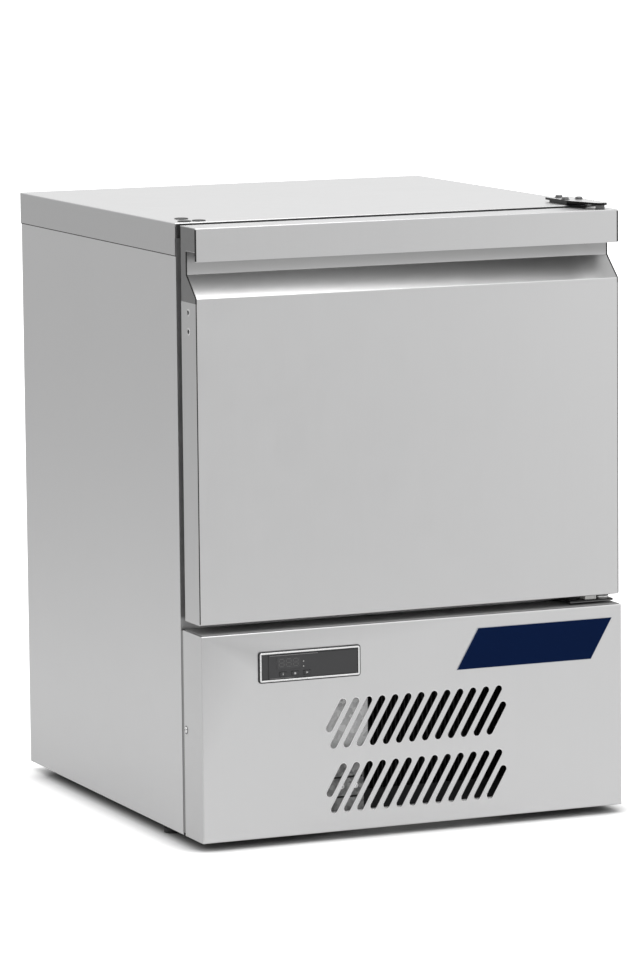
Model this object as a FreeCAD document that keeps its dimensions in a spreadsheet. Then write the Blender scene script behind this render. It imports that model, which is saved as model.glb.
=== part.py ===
"""Undercounter blast chiller: an insulated chamber with one door over a machine compartment.

Millimetres. The origin is the middle of the object's box on the floor, +X is to the right of a
person who faces the door, +Y goes to the wall behind and +Z is up.
"""
import FreeCAD, Part
import math
import os
import Sketcher
from FreeCAD import Placement, Rotation, Vector

SIZES = [
    # overall
    ("width", 605, "cabinet, side to side"),
    ("depth", 670, "controller bezel to rear spacers"),
    ("height", 810, "floor to worktop"),
    ("panel_proud", 70, "service panel ahead of the body front"),
    ("trim_proud", 3, "controller bezel ahead of the service panel"),
    ("rear_gap", 22, "rear spacers behind the body"),
    ("floor_gap", 11, "floor to the lower edge of the cabinet"),
    # cabinet shell
    ("skin", 1.0, "outer sheet"),
    ("frame_sheet", 1.5, "front frame and base tray sheet"),
    ("liner_sheet", 1.0, "chamber liner sheet"),
    ("worktop_edge", 42, "turned-down edge of the worktop"),
    ("worktop_nose", 20, "turned-down edge at the front, above the seal"),
    ("bend", 1.6, "outside radius of a sheet bend"),
    ("side_wall", 34, "insulated side wall, outside to chamber"),
    ("ceiling", 48, "insulated top, worktop to chamber"),
    ("rear_wall", 43, "insulated rear wall, outside to chamber"),
    ("chamber_rise", 35, "chamber's floor above the door's lower edge"),
    ("floor_wall", 40, "insulation under the chamber"),
    ("apron", 40, "front frame below the deck"),
    ("vent_low", 66, "lowest rear cooling slot above the floor"),
    ("vent_slot", 7, "rear cooling slot"),
    ("vent_pitch", 17, "rear cooling slots, row to row"),
    ("vent_width", 168, "rear cooling slots, side to side"),
    ("vent_web", 16, "between the two columns of rear slots"),
    ("tray_wall", 38, "height of the base tray's flanges"),
    # door
    ("door_inset", 2.5, "door side inside the cabinet side"),
    ("door_drop", 2.5, "door top below the worktop"),
    ("door_proud", 64, "door front ahead of the body front"),
    ("door_thickness", 51, "door front to door liner"),
    ("door_gap", 13, "service panel to door"),
    ("lip_height", 43.5, "grip lip"),
    ("lip_sheet", 2, "hemmed lip"),
    ("pocket_rise", 12, "finger pocket behind the lip"),
    ("recess_depth", 32, "grip recess behind the door front"),
    ("recess_drop", 18.5, "recess face below the lip"),
    ("slope_drop", 28.5, "slope from recess face to door front"),
    ("cap_skirt", 6.5, "end cap below the slope"),
    ("cap_depth", 12, "end cap inside the door, latch side"),
    ("hinge_cap_depth", 36, "end cap inside the door, hinge side"),
    ("pivot_block", 30, "height of the lower pivot block"),
    ("cam_width", 16, "white cam under the door, beside the thrust bush"),
    ("cam_depth", 14, "cam, front to rear"),
    ("cam_gap", 0.8, "thrust bush to cam"),
    ("gasket_lap", 17.5, "gasket outside the chamber opening"),
    ("gasket_width", 15, "gasket section"),
    ("seal_clearance", 0.3, "gasket to the front frame"),
    ("lock_hole", 3.2, "radius of the holes in the door's side"),
    ("lock_hole_pitch", 24.5, "between the two holes"),
    ("lock_hole_drop", 13, "upper hole below the end cap"),
    ("lock_hole_in", 27.5, "holes behind the door front"),
    ("lock_hole_depth", 12, "depth of the holes"),
    # hinges
    ("pivot_in", 18.5, "pivot inside the door's side"),
    ("pivot_back", 14.5, "pivot behind the door front"),
    ("pivot_pin", 4, "pin radius"),
    ("pivot_play", 0.05, "pin to bore, on the radius"),
    ("collar", 6, "radius of the top bush"),
    ("hinge_sheet", 3, "hinge plates"),
    ("hinge_packer", 3, "packer under the top plate"),
    ("pin_reach", 24, "pin inside the door"),
    ("thrust_bush", 10, "radius of the thrust bush"),
    ("running_gap", 0.3, "between faces that slide past each other"),
    ("bolt_shank", 3, "hinge bolt radius"),
    ("bolt_head", 5, "hinge bolt head radius"),
    ("bolt_head_rise", 3.3, "hinge bolt head height"),
    ("bolt_depth", 14, "hinge bolt below the worktop"),
    ("plug_radius", 9, "plugs in the unused hinge holes"),
    ("plug_rise", 1.6, "plugs above the worktop"),
    # service panel
    ("panel_top", 282, "floor to the top of the service panel"),
    ("panel_flange", 62, "flanges of the service panel"),
    ("panel_foot_flange", 20, "lower flange of the service panel"),
    ("bracket_sheet", 2, "brackets that carry the service panel"),
    ("bracket_reach", 35, "brackets ahead of the body front"),
    ("screw_radius", 3.4, "panel screw head radius"),
    ("screw_shank", 1.8, "panel screw shank radius"),
    ("screw_rise", 2, "panel screw head height"),
    ("slot_width", 9.2, "cooling slot"),
    ("slot_height", 56, "cooling slot between its end centres, upright"),
    ("slot_lean", 30, "lean of the slots, degrees"),
    ("slot_pitch", 18.7, "slot to slot"),
    ("slot_first", -101.2, "middle of the first full slot"),
    ("slot_short", 34, "part slot between its end centres, upright"),
    ("slot_row_low", 29.3, "lower row's end centres above the panel's edge"),
    ("slot_row_pitch", 85.5, "row to row"),
    ("label_width", 195.5, "label plate along its edge"),
    ("label_height", 53.5, "label plate"),
    ("label_sheet", 0.6, "label plate"),
    ("label_in", 15, "label plate's upper corner inside the panel's side"),
    ("label_drop", 17, "label plate below the panel's top"),
    # controller
    ("bezel_width", 144, "controller bezel"),
    ("bezel_height", 41.5, "controller bezel"),
    ("bezel_in", 78.9, "bezel inside the panel's left side"),
    ("bezel_drop", 25.5, "bezel below the panel's top"),
    ("bezel_rim", 4.5, "bezel rim"),
    ("bezel_round", 4, "bezel corner radius"),
    ("fascia_sheet", 1.6, "controller fascia"),
    ("fascia_play", 0.2, "fascia in its bezel"),
    ("module_wall", 4, "controller module inside its fascia"),
    ("module_depth", 58, "controller module behind the panel"),
    ("cutout_play", 0.5, "module in the panel's cut-out"),
    ("window_width", 33.5, "display window"),
    ("window_height", 15, "display window"),
    ("window_rise", 0.4, "display window above its fascia"),
    ("key_width", 9, "key"),
    ("key_height", 5.4, "key"),
    ("key_round", 1.5, "key corner radius"),
    ("key_rise", 0.8, "key above its fascia"),
    ("key_reach", 2.4, "key behind the panel's face"),
    ("key_travel", 1, "key stroke"),
    ("key_play", 0.3, "key in its hole"),
    ("key_pitch", 17, "key to key"),
    # chamber
    ("pan_depth", 325, "shelf grid, front to back"),
    ("shelf_set_back", 17, "shelf grid behind the body front"),
    ("rack_sheet", 2, "rack uprights"),
    ("runner_sheet", 1.5, "rack runners"),
    ("runner_width", 15, "rack runners"),
    ("shelf_play", 1.5, "shelf grid to upright"),
    ("shelf_bar", 6, "shelf grid border"),
    ("shelf_wire", 1.5, "shelf grid wire radius"),
    ("first_shelf", 45, "lowest shelf above the chamber's floor"),
    ("shelf_pitch", 125, "shelf to shelf"),
    ("cowl_gap", 20, "shelf grid to evaporator cowl"),
    ("cowl_sheet", 1.5, "evaporator cowl"),
    ("cowl_air_gap", 14, "air way above and below the cowl"),
    ("chamber_fan", 95, "chamber fan blade tip radius"),
    ("fan_play", 4, "blade tip to its ring"),
    ("coil_width", 430, "evaporator, side to side"),
    ("coil_depth", 66, "evaporator, front to back"),
    ("coil_rise", 22, "evaporator above its drip tray"),
    ("coil_drop", 56, "evaporator below the chamber's top"),
    ("drip_rise", 14, "drip tray above the chamber's floor"),
    ("drip_height", 20, "drip tray"),
    # machine compartment
    ("condenser_left", -38, "condenser's left side"),
    ("condenser_in", 48.5, "condenser inside the cabinet's right side"),
    ("condenser_top", 246, "condenser, above the floor"),
    ("condenser_depth", 38, "condenser, front to back"),
    ("condenser_set_back", 14, "condenser behind the body front"),
    ("shroud_depth", 30, "fan shroud behind the condenser"),
    ("condenser_fan", 82, "condenser fan blade tip radius"),
    ("compressor_radius", 76, "compressor shell"),
    ("compressor_height", 165, "compressor shell"),
    ("mount_height", 22, "rubber mounts under the compressor"),
    ("foot_radius", 11, "levelling foot"),
    ("foot_stud", 5, "levelling foot stud radius"),
    ("foot_in", 14, "front feet inside the cabinet side"),
    ("rear_foot_in", 52, "rear feet inside the cabinet side"),
    ("foot_back", 73, "feet inside the body front and rear"),
    ("suction_pipe", 5, "suction line radius"),
    ("liquid_pipe", 3, "liquid and discharge line radius"),
    ("pipe_play", 1, "pipe in its hole"),
    ("drain_pipe", 8, "drain spout radius"),
    ("gland_radius", 11, "mains gland"),
    ("gland_thread", 8, "mains gland thread radius"),
    ("gland_bore", 5, "mains gland bore radius"),
    ("gland_depth", 20, "mains gland behind the back panel"),
]

doc = FreeCAD.newDocument("BlastChiller")
sheet = doc.addObject("Spreadsheet::Sheet", "Sizes")


class Size:
    """A number together with the sheet formula that gives it."""

    def __init__(self, value, formula):
        self.value = value
        self.formula = formula

    def join(self, other, sign, value):
        return Size(value, "(" + self.formula + " " + sign + " " + other.formula + ")")

    def __add__(self, other):
        other = as_size(other)
        return self.join(other, "+", self.value + other.value)

    def __sub__(self, other):
        other = as_size(other)
        return self.join(other, "-", self.value - other.value)

    def __mul__(self, other):
        other = as_size(other)
        return self.join(other, "*", self.value * other.value)

    def __truediv__(self, other):
        other = as_size(other)
        return self.join(other, "/", self.value / other.value)

    def __radd__(self, other):
        return as_size(other) + self

    def __rsub__(self, other):
        return as_size(other) - self

    def __rmul__(self, other):
        return as_size(other) * self

    def __neg__(self):
        return as_size(0) - self


def as_size(number):
    return number if isinstance(number, Size) else Size(float(number), str(float(number)))


def tan_of(angle):
    return Size(math.tan(math.radians(angle.value)), "tan(" + angle.formula + ")")


class Sizes:
    """Every cell of the sheet as an attribute."""


S = Sizes()
for row, (alias, value, note) in enumerate(SIZES, start=1):
    sheet.set("A" + str(row), note)
    sheet.set("B" + str(row), str(value))
    sheet.setAlias("B" + str(row), alias)
    setattr(S, alias, Size(float(value), "Sizes." + alias))
doc.recompute()

# Planes and faces that several pieces share
HALF = S.width / 2
BODY_FRONT = S.trim_proud + S.panel_proud - S.depth / 2
BODY_BACK = S.depth / 2 - S.rear_gap
PANEL_FRONT = S.trim_proud - S.depth / 2
PANEL_LOW = S.floor_gap
SIDE_OUTER = HALF - S.skin
SIDE_INNER = SIDE_OUTER - S.skin
BACK_OUTER = BODY_BACK - S.skin
BACK_INNER = BACK_OUTER - S.skin
UNDER_TOP = S.height - S.skin
FRAME_BACK = BODY_FRONT + S.frame_sheet
CHAMBER_HALF = HALF - S.side_wall
CHAMBER_TOP = S.height - S.ceiling
CHAMBER_BACK = BODY_BACK - S.rear_wall
DOOR_LOW = S.panel_top + S.door_gap
CHAMBER_FLOOR = DOOR_LOW + S.chamber_rise
DECK_TOP = CHAMBER_FLOOR - S.floor_wall
DECK_LOW = DECK_TOP - S.skin
TRAY_TOP = S.floor_gap + S.frame_sheet
DOOR_HALF = HALF - S.door_inset
DOOR_FRONT = BODY_FRONT - S.door_proud
DOOR_BACK = DOOR_FRONT + S.door_thickness
DOOR_TOP = S.height - S.door_drop
LIP_LOW = DOOR_TOP - S.lip_height
POCKET_TOP = LIP_LOW + S.pocket_rise
RECESS_FACE = DOOR_FRONT + S.recess_depth
RECESS_LOW = LIP_LOW - S.recess_drop
SLOPE_LOW = RECESS_LOW - S.slope_drop
CAP_LOW = SLOPE_LOW - S.cap_skirt
PIVOT_X = DOOR_HALF - S.pivot_in
PIVOT_Y = DOOR_FRONT + S.pivot_back
HINGE_LOW = S.height + S.hinge_packer
HINGE_TOP = HINGE_LOW + S.hinge_sheet
LOWER_PLATE_LOW = S.panel_top + 4
LOWER_PLATE_TOP = LOWER_PLATE_LOW + S.hinge_sheet
CAM_X = (PIVOT_X - S.thrust_bush - S.cam_gap - S.cam_width, PIVOT_X - S.thrust_bush - S.cam_gap)
CAM_Y = (PIVOT_Y - S.cam_depth / 2, PIVOT_Y + S.cam_depth / 2)
BLOCK_X = (CAM_X[0] - 2, DOOR_HALF - S.skin)
SHELF_FRONT = BODY_FRONT + S.shelf_set_back
SHELF_BACK = SHELF_FRONT + S.pan_depth
COWL_FRONT = SHELF_BACK + S.cowl_gap
COWL_BACK = COWL_FRONT + S.cowl_sheet
FAN_Z = (CHAMBER_FLOOR + CHAMBER_TOP) / 2
LEVELS = [CHAMBER_FLOOR + S.first_shelf + S.shelf_pitch * i for i in range(3)]
SIDES = (("left", -1), ("right", 1))

NODES = []


def bind(thing, **formulas):
    """Tie properties of an object to the sheet; x, y and z are its place."""
    for name, size in formulas.items():
        path = "Placement.Base." + name if name in ("x", "y", "z") else name
        thing.setExpression(path, as_size(size).formula)
    return thing


def node(thing, label):
    """Mark an object as a finished piece with the name of its file."""
    thing.Label = label
    NODES.append(thing)
    return thing


def mirror_span(side, low, high):
    """The span from low to high on the right side, or its mirror image on the left."""
    return (low, high) if side > 0 else (-high, -low)


def box(name, x, y, z):
    """A block between pairs of faces."""
    block = doc.addObject("Part::Box", name)
    bind(block, x=x[0], y=y[0], z=z[0])
    return bind(block, Length=as_size(x[1]) - x[0], Width=as_size(y[1]) - y[0], Height=as_size(z[1]) - z[0])


def rod(name, axis, centre, span, radius):
    """A cylinder along x, y or z; centre holds its other two coordinates in order."""
    bar = doc.addObject("Part::Cylinder", name)
    direction = {"x": Vector(1, 0, 0), "y": Vector(0, 1, 0), "z": Vector(0, 0, 1)}[axis]
    bar.Placement = Placement(Vector(), Rotation(Vector(0, 0, 1), direction))
    place = list(centre)
    place.insert("xyz".index(axis), span[0])
    bind(bar, x=place[0], y=place[1], z=place[2])
    return bind(bar, Radius=radius, Height=as_size(span[1]) - span[0])


def group(name, *things):
    """Separate solids that count as one piece, or one set of cutting tools."""
    bundle = doc.addObject("Part::Compound", name)
    bundle.Links = list(things)
    return bundle


def fuse(name, *things):
    joined = doc.addObject("Part::MultiFuse", name)
    joined.Shapes = list(things)
    joined.Refine = True
    return joined


def cut(name, base, *tools):
    """Take the tools away from the base."""
    result = doc.addObject("Part::Cut", name)
    result.Base = base
    result.Tool = tools[0] if len(tools) == 1 else fuse(name + "_tools", *tools)
    result.Refine = True
    return result


PLANES = {"x": "YZ_Plane", "y": "XZ_Plane", "z": "XY_Plane"}


def sketch_on(body, name, axis, start):
    """A sketch square to an axis of the body, moved to start along that axis."""
    sketch = body.newObject("Sketcher::SketchObject", name)
    plane = [f for f in body.Origin.OriginFeatures if f.Role == PLANES[axis]][0]
    sketch.AttachmentSupport = [(plane, "")]
    sketch.MapMode = "FlatFace"
    along = -as_size(start) if axis == "y" else as_size(start)
    sketch.setExpression("AttachmentOffset.Base.z", along.formula)
    return sketch


def tie(sketch, kind, geometry, point, size, name):
    """Hold one coordinate of a sketch point at a size."""
    at = sketch.addConstraint(Sketcher.Constraint(kind, -1, 1, geometry, point, size.value))
    sketch.renameConstraint(at, name)
    sketch.setExpression("Constraints." + name, size.formula)


def add_outline(sketch, points, tag="p"):
    """A closed outline of straight lines through points, each held by two sizes."""
    points = [(as_size(u), as_size(v)) for u, v in points]
    first = sketch.GeometryCount
    corners = [Vector(u.value, v.value, 0) for u, v in points]
    for i, corner in enumerate(corners):
        sketch.addGeometry(Part.LineSegment(corner, corners[(i + 1) % len(corners)]), False)
    for i in range(len(points)):
        after = (i + 1) % len(points)
        sketch.addConstraint(Sketcher.Constraint("Coincident", first + i, 2, first + after, 1))
    for i, (u, v) in enumerate(points):
        tie(sketch, "DistanceX", first + i, 1, u, tag + str(i) + "_across")
        tie(sketch, "DistanceY", first + i, 1, v, tag + str(i) + "_up")


def pad(body, name, axis, outline, span):
    """Pad an outline between two planes square to an axis."""
    sketch = sketch_on(body, name + "_sketch", axis, span[0])
    add_outline(sketch, outline)
    result = body.newObject("PartDesign::Pad", name)
    result.Profile = sketch
    result.Reversed = axis == "y"
    bind(result, Length=as_size(span[1]) - span[0])
    return result


def pocket(body, name, axis, outline, span):
    """Cut an outline away between two planes square to an axis."""
    sketch = sketch_on(body, name + "_sketch", axis, span[0])
    add_outline(sketch, outline)
    return pocket_from(body, name, axis, sketch, span)


def pocket_from(body, name, axis, sketch, span):
    result = body.newObject("PartDesign::Pocket", name)
    result.Profile = sketch
    result.Reversed = axis != "y"
    bind(result, Length=as_size(span[1]) - span[0])
    return result


def rectangle(x, z):
    return [(x[0], z[0]), (x[1], z[0]), (x[1], z[1]), (x[0], z[1])]


def body_named(name):
    return doc.addObject("PartDesign::Body", name)


def edges_where(thing, test):
    """Names of the straight edges that pass a test of their two ends."""
    names = []
    for number, edge in enumerate(thing.Shape.Edges, start=1):
        if isinstance(edge.Curve, Part.Line) and test(*[v.Point for v in edge.Vertexes]):
            names.append("Edge" + str(number))
    return names


def near(a, b):
    return abs(a - as_size(b).value) < 1e-4


def fillet(body, name, base, radius, test):
    """Round the edges of a body that pass a test."""
    doc.recompute()
    result = body.newObject("PartDesign::Fillet", name)
    result.Base = (base, edges_where(base, test))
    bind(result, Radius=radius)
    return result


def round_edges(name, base, radius, test):
    """Round the straight edges of a shape that pass a test."""
    doc.recompute()
    names = edges_where(base, test)
    result = doc.addObject("Part::Fillet", name)
    result.Base = base
    result.Edges = [(int(n[4:]), radius.value, radius.value) for n in names]
    return result


def feature(name, shape):
    """A piece whose shape comes from the functions below."""
    thing = doc.addObject("Part::Feature", name)
    thing.Shape = shape
    return thing


# ---------------------------------------------------------------- cabinet shell


def hinge_bolts(side):
    """Places of the three hinge bolts, or of the plugs on the other side."""
    inward = ((31, 54), (40, 16), (20, 16))
    return [(side * (HALF - x), BODY_FRONT + y) for x, y in inward]


def bolt_holes():
    """Shafts through the worktop and into the foam: bolts on one side, plug stems on the other."""
    shafts = []
    for label, side in SIDES:
        for i, (x, y) in enumerate(hinge_bolts(side)):
            name = "bolt_hole_" + label + str(i)
            shafts.append(rod(name, "z", (x, y), (S.height - S.bolt_depth, S.height), S.bolt_shank))
    return shafts


def side_panels():
    for label, side in SIDES:
        x = mirror_span(side, SIDE_INNER, SIDE_OUTER)
        name = "side_panel_" + label
        node(box(name, x, (BODY_FRONT, BACK_OUTER), (S.floor_gap, UNDER_TOP)), name)


def worktop():
    body = body_named("worktop_sheet")
    pad(body, "top_block", "z", rectangle((-HALF, HALF), (BODY_FRONT - S.skin, BODY_BACK)),
        (S.height - S.worktop_edge, S.height))
    pocket(body, "top_hollow", "z", rectangle((-SIDE_OUTER, SIDE_OUTER), (BODY_FRONT, BACK_OUTER)),
           (S.height - S.worktop_edge, UNDER_TOP))
    nose = [(-HALF - 1, BODY_FRONT - S.skin - 1), (HALF + 1, BODY_FRONT - S.skin - 1),
            (HALF + 1, BODY_FRONT), (-HALF - 1, BODY_FRONT)]
    trimmed = pocket(body, "top_nose", "z", nose, (S.height - S.worktop_edge, S.height - S.worktop_nose))
    fillet(body, "top_bends", trimmed, S.bend, lambda a, b: near(a.z, S.height) and near(b.z, S.height))
    node(cut("worktop_drilled", body, *bolt_holes()), "worktop")


GLAND_X = 62 - HALF
GLAND_Z = S.floor_gap + 110


def back_panel():
    plate = box("back_sheet", (-SIDE_INNER, SIDE_INNER), (BACK_INNER, BACK_OUTER), (S.floor_gap, UNDER_TOP))
    across = grown((BACK_INNER, BACK_OUTER), 1)
    slots = []
    for row in range(10):
        z = S.vent_low + S.vent_pitch * row
        for label, side in SIDES:
            x = mirror_span(side, S.vent_web / 2, S.vent_web / 2 + S.vent_width)
            slots.append(box("vent_" + label + str(row), x, across, (z, z + S.vent_slot)))
    hole = rod("back_gland_hole", "y", (GLAND_X, GLAND_Z), across, S.gland_thread)
    node(cut("back_panel", plate, group("vent_slots", *slots), hole), "back_panel")


def rear_spacers():
    blocks = []
    for label, side in SIDES:
        x = mirror_span(side, as_size(170), as_size(230))
        blocks.append(box("spacer_" + label, x, (BODY_BACK, S.depth / 2), (S.height - 36, S.height - 8)))
    node(group("rear_spacers", *blocks), "rear_spacers")


def front_frame():
    plate = box("frame_plate", (-SIDE_INNER, SIDE_INNER), (BODY_FRONT, FRAME_BACK), (DECK_LOW - S.apron, UNDER_TOP))
    opening = box("frame_opening", (-CHAMBER_HALF, CHAMBER_HALF), (BODY_FRONT - 1, FRAME_BACK + 1),
                  (CHAMBER_FLOOR, CHAMBER_TOP))
    node(cut("front_frame", plate, opening), "front_frame")


def pipe_places():
    """Where the two refrigerant lines and the drain go through the chamber's floor."""
    line_x = -(CHAMBER_HALF - 28)
    return {
        "suction": (line_x, CHAMBER_BACK - 45, S.suction_pipe + S.pipe_play),
        "liquid": (line_x + 16, CHAMBER_BACK - 20, S.liquid_pipe + S.pipe_play),
        "drain": (as_size(0), CHAMBER_BACK - 30, S.drain_pipe + S.pipe_play),
    }


def floor_ports(name):
    ports = []
    for label, (x, y, radius) in pipe_places().items():
        ports.append(rod(name + "_" + label, "z", (x, y), (DECK_LOW - 1, CHAMBER_FLOOR + 1), radius))
    return ports


def liner_outer(name):
    edge = S.liner_sheet
    return box(name, (-CHAMBER_HALF - edge, CHAMBER_HALF + edge), (FRAME_BACK, CHAMBER_BACK + edge),
               (CHAMBER_FLOOR - edge, CHAMBER_TOP + edge))


def foam_slabs():
    """The insulation as one slab for each wall, edge to edge around the liner."""
    edge = S.liner_sheet
    low, top = CHAMBER_FLOOR - edge, CHAMBER_TOP + edge
    back = CHAMBER_BACK + edge
    full_x, full_y = (-SIDE_INNER, SIDE_INNER), (FRAME_BACK, BACK_INNER)
    floor = cut("foam_floor", box("foam_floor_slab", full_x, full_y, (DECK_TOP, low)), *floor_ports("foam_port"))
    ceiling = cut("foam_ceiling", box("foam_ceiling_slab", full_x, full_y, (top, UNDER_TOP)), *bolt_holes())
    rear = box("foam_rear", full_x, (back, BACK_INNER), (low, top))
    walls = [box("foam_wall_" + label, mirror_span(side, CHAMBER_HALF + edge, SIDE_INNER), (FRAME_BACK, back),
                 (low, top)) for label, side in SIDES]
    return [floor, ceiling, rear] + walls


def chamber_shell():
    hollow = box("chamber_space", (-CHAMBER_HALF, CHAMBER_HALF), (FRAME_BACK - 1, CHAMBER_BACK),
                 (CHAMBER_FLOOR, CHAMBER_TOP))
    node(cut("chamber_liner", liner_outer("liner_block"), hollow, *floor_ports("liner_port")), "chamber_liner")
    node(group("insulation_foam", *foam_slabs()), "insulation_foam")
    deck = box("deck_sheet", (-SIDE_INNER, SIDE_INNER), (FRAME_BACK, BACK_INNER), (DECK_LOW, DECK_TOP))
    node(cut("machine_deck", deck, *floor_ports("deck_port")), "machine_deck")


def foot_places():
    places = []
    for end, inward, y in (("front", S.foot_in, BODY_FRONT + S.foot_back),
                           ("rear", S.rear_foot_in, BODY_BACK - S.foot_back)):
        for label, side in SIDES:
            places.append((end + "_" + label, side * (HALF - inward), y))
    return places


NUT_HEIGHT = 12
STUD_TOP = NUT_HEIGHT + 14


def base_tray():
    shell = cut("tray_shell",
                box("tray_block", (-SIDE_INNER, SIDE_INNER), (BODY_FRONT, BACK_INNER),
                    (S.floor_gap, S.floor_gap + S.tray_wall)),
                box("tray_hollow", (-SIDE_INNER + S.frame_sheet, SIDE_INNER - S.frame_sheet),
                    (BODY_FRONT + S.frame_sheet, BACK_INNER - S.frame_sheet),
                    (TRAY_TOP, S.floor_gap + S.tray_wall + 1)))
    pieces = [shell]
    bores = []
    for label, side in SIDES:
        x = mirror_span(side, SIDE_INNER - S.bracket_sheet, SIDE_INNER)
        pieces.append(box("panel_bracket_" + label, x, (BODY_FRONT - S.bracket_reach, BODY_FRONT + 34),
                          (S.floor_gap + 4, DECK_LOW - S.apron - 2)))
    for label, x, y in foot_places():
        pieces.append(rod("foot_nut_" + label, "z", (x, y), (TRAY_TOP - 1, TRAY_TOP + NUT_HEIGHT),
                          S.foot_stud + 3.5))
        bores.append(rod("foot_bore_" + label, "z", (x, y), (S.floor_gap - 1, TRAY_TOP + NUT_HEIGHT + 1),
                         S.foot_stud + S.pivot_play))
    node(cut("base_tray", fuse("tray_welded", *pieces), group("foot_bores", *bores)), "base_tray")


def feet():
    for label, x, y in foot_places():
        pad_disc = rod("foot_pad_" + label, "z", (x, y), (0, S.floor_gap - S.running_gap), S.foot_radius)
        stud = rod("foot_stud_" + label, "z", (x, y), (1, TRAY_TOP + STUD_TOP), S.foot_stud)
        node(fuse("foot_" + label, pad_disc, stud), "foot_" + label)


# ---------------------------------------------------------------- service panel


def slot_row(body, name, low):
    """One row of slanted slots with a part slot at each end."""
    lean = tan_of(S.slot_lean)
    middle = low + S.slot_height / 2

    def slot(label, bottom, top, x_middle):
        sketch = sketch_on(body, name + label + "_sketch", "y", PANEL_FRONT - 1)
        ends = [(x_middle + (z - middle) * lean, z) for z in (bottom, top)]
        add_slot(sketch, ends, S.slot_width / 2)
        return pocket_from(body, name + label, "y", sketch, (PANEL_FRONT - 1, PANEL_FRONT + S.skin + 1))

    top = low + S.slot_height
    full = slot("full", low, top, S.slot_first)
    row = body.newObject("PartDesign::LinearPattern", name + "row")
    row.Originals = [full]
    row.Direction = ([f for f in body.Origin.OriginFeatures if f.Role == "X_Axis"][0], [""])
    row.Occurrences = 12
    bind(row, Length=S.slot_pitch * 11)
    body.Tip = row
    slot("part_left", top - S.slot_short, top, S.slot_first - S.slot_pitch)
    body.Tip = slot("part_right", low, low + S.slot_short, S.slot_first + S.slot_pitch * 12)


def add_slot(sketch, ends, radius):
    """A round-ended slot between two end centres."""
    (x0, z0), (x1, z1) = [(as_size(u), as_size(v)) for u, v in ends]
    low = Vector(x0.value, z0.value, 0)
    high = Vector(x1.value, z1.value, 0)
    lean = math.atan2(high.y - low.y, high.x - low.x)
    side = Vector(-math.sin(lean), math.cos(lean), 0) * radius.value
    up = Vector(0, 0, 1)
    quarter = math.pi / 2
    sketch.addGeometry(Part.ArcOfCircle(Part.Circle(low, up, radius.value), lean + quarter, lean + 3 * quarter), False)
    sketch.addGeometry(Part.LineSegment(low - side, high - side), False)
    sketch.addGeometry(Part.ArcOfCircle(Part.Circle(high, up, radius.value), lean - quarter, lean + quarter), False)
    sketch.addGeometry(Part.LineSegment(high + side, low + side), False)
    for first, first_end, second, second_end in ((0, 2, 1, 1), (1, 2, 2, 1), (2, 2, 3, 1), (3, 2, 0, 1)):
        sketch.addConstraint(Sketcher.Constraint("Tangent", first, first_end, second, second_end))
    for arc, tag, (u, v) in ((0, "low", (x0, z0)), (2, "high", (x1, z1))):
        tie(sketch, "DistanceX", arc, 3, u, tag + "_across")
        tie(sketch, "DistanceY", arc, 3, v, tag + "_up")
    at = sketch.addConstraint(Sketcher.Constraint("Radius", 0, radius.value))
    sketch.renameConstraint(at, "end_radius")
    sketch.setExpression("Constraints.end_radius", radius.formula)
    sketch.addConstraint(Sketcher.Constraint("Equal", 0, 2))


BEZEL_LEFT = S.bezel_in - SIDE_OUTER
BEZEL_RIGHT = BEZEL_LEFT + S.bezel_width
BEZEL_TOP = S.panel_top - S.bezel_drop
BEZEL_LOW = BEZEL_TOP - S.bezel_height
MODULE_X = (BEZEL_LEFT + S.bezel_rim + S.module_wall, BEZEL_RIGHT - S.bezel_rim - S.module_wall)
MODULE_Z = (BEZEL_LOW + S.bezel_rim + S.module_wall / 2, BEZEL_TOP - S.bezel_rim - S.module_wall / 2)


def grown(span, margin):
    return (span[0] - margin, span[1] + margin)


def service_panel():
    body = body_named("service_panel_sheet")
    back = PANEL_FRONT + S.panel_flange
    pad(body, "panel_block", "y", rectangle((-SIDE_OUTER, SIDE_OUTER), (PANEL_LOW, S.panel_top)), (PANEL_FRONT, back))
    pocket(body, "panel_hollow", "y",
           rectangle((-SIDE_INNER, SIDE_INNER), (PANEL_LOW + S.skin, S.panel_top - S.skin)),
           (PANEL_FRONT + S.skin, back))
    trimmed = pocket(body, "panel_foot", "y", rectangle((-SIDE_INNER, SIDE_INNER), (PANEL_LOW - 1, PANEL_LOW + S.skin)),
                     (PANEL_FRONT + S.panel_foot_flange, back))

    def outer_front(a, b):
        on_front = near(a.y, PANEL_FRONT) and near(b.y, PANEL_FRONT)
        upright = near(a.x, b.x) and near(abs(a.x), SIDE_OUTER)
        level = near(a.z, b.z) and (near(a.z, S.panel_top) or near(a.z, PANEL_LOW))
        return on_front and (upright or level)

    fillet(body, "panel_bends", trimmed, S.bend, outer_front)
    pocket(body, "panel_cutout", "y",
           rectangle(grown(MODULE_X, S.cutout_play), grown(MODULE_Z, S.cutout_play)),
           (PANEL_FRONT - 1, PANEL_FRONT + S.skin + 1))
    for row in range(2):
        slot_row(body, "slots_" + str(row) + "_", PANEL_LOW + S.slot_row_low + S.slot_row_pitch * row)
    holes = [rod("panel_screw_hole_" + label, "x", (SCREW_Y, SCREW_Z),
                 mirror_span(side, SIDE_INNER - 1, SIDE_OUTER + 1), S.screw_shank) for label, side in SIDES]
    node(cut("service_panel_drilled", body, *holes), "service_panel")


SCREW_Y = BODY_FRONT - 15
SCREW_Z = PANEL_LOW + 141


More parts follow.
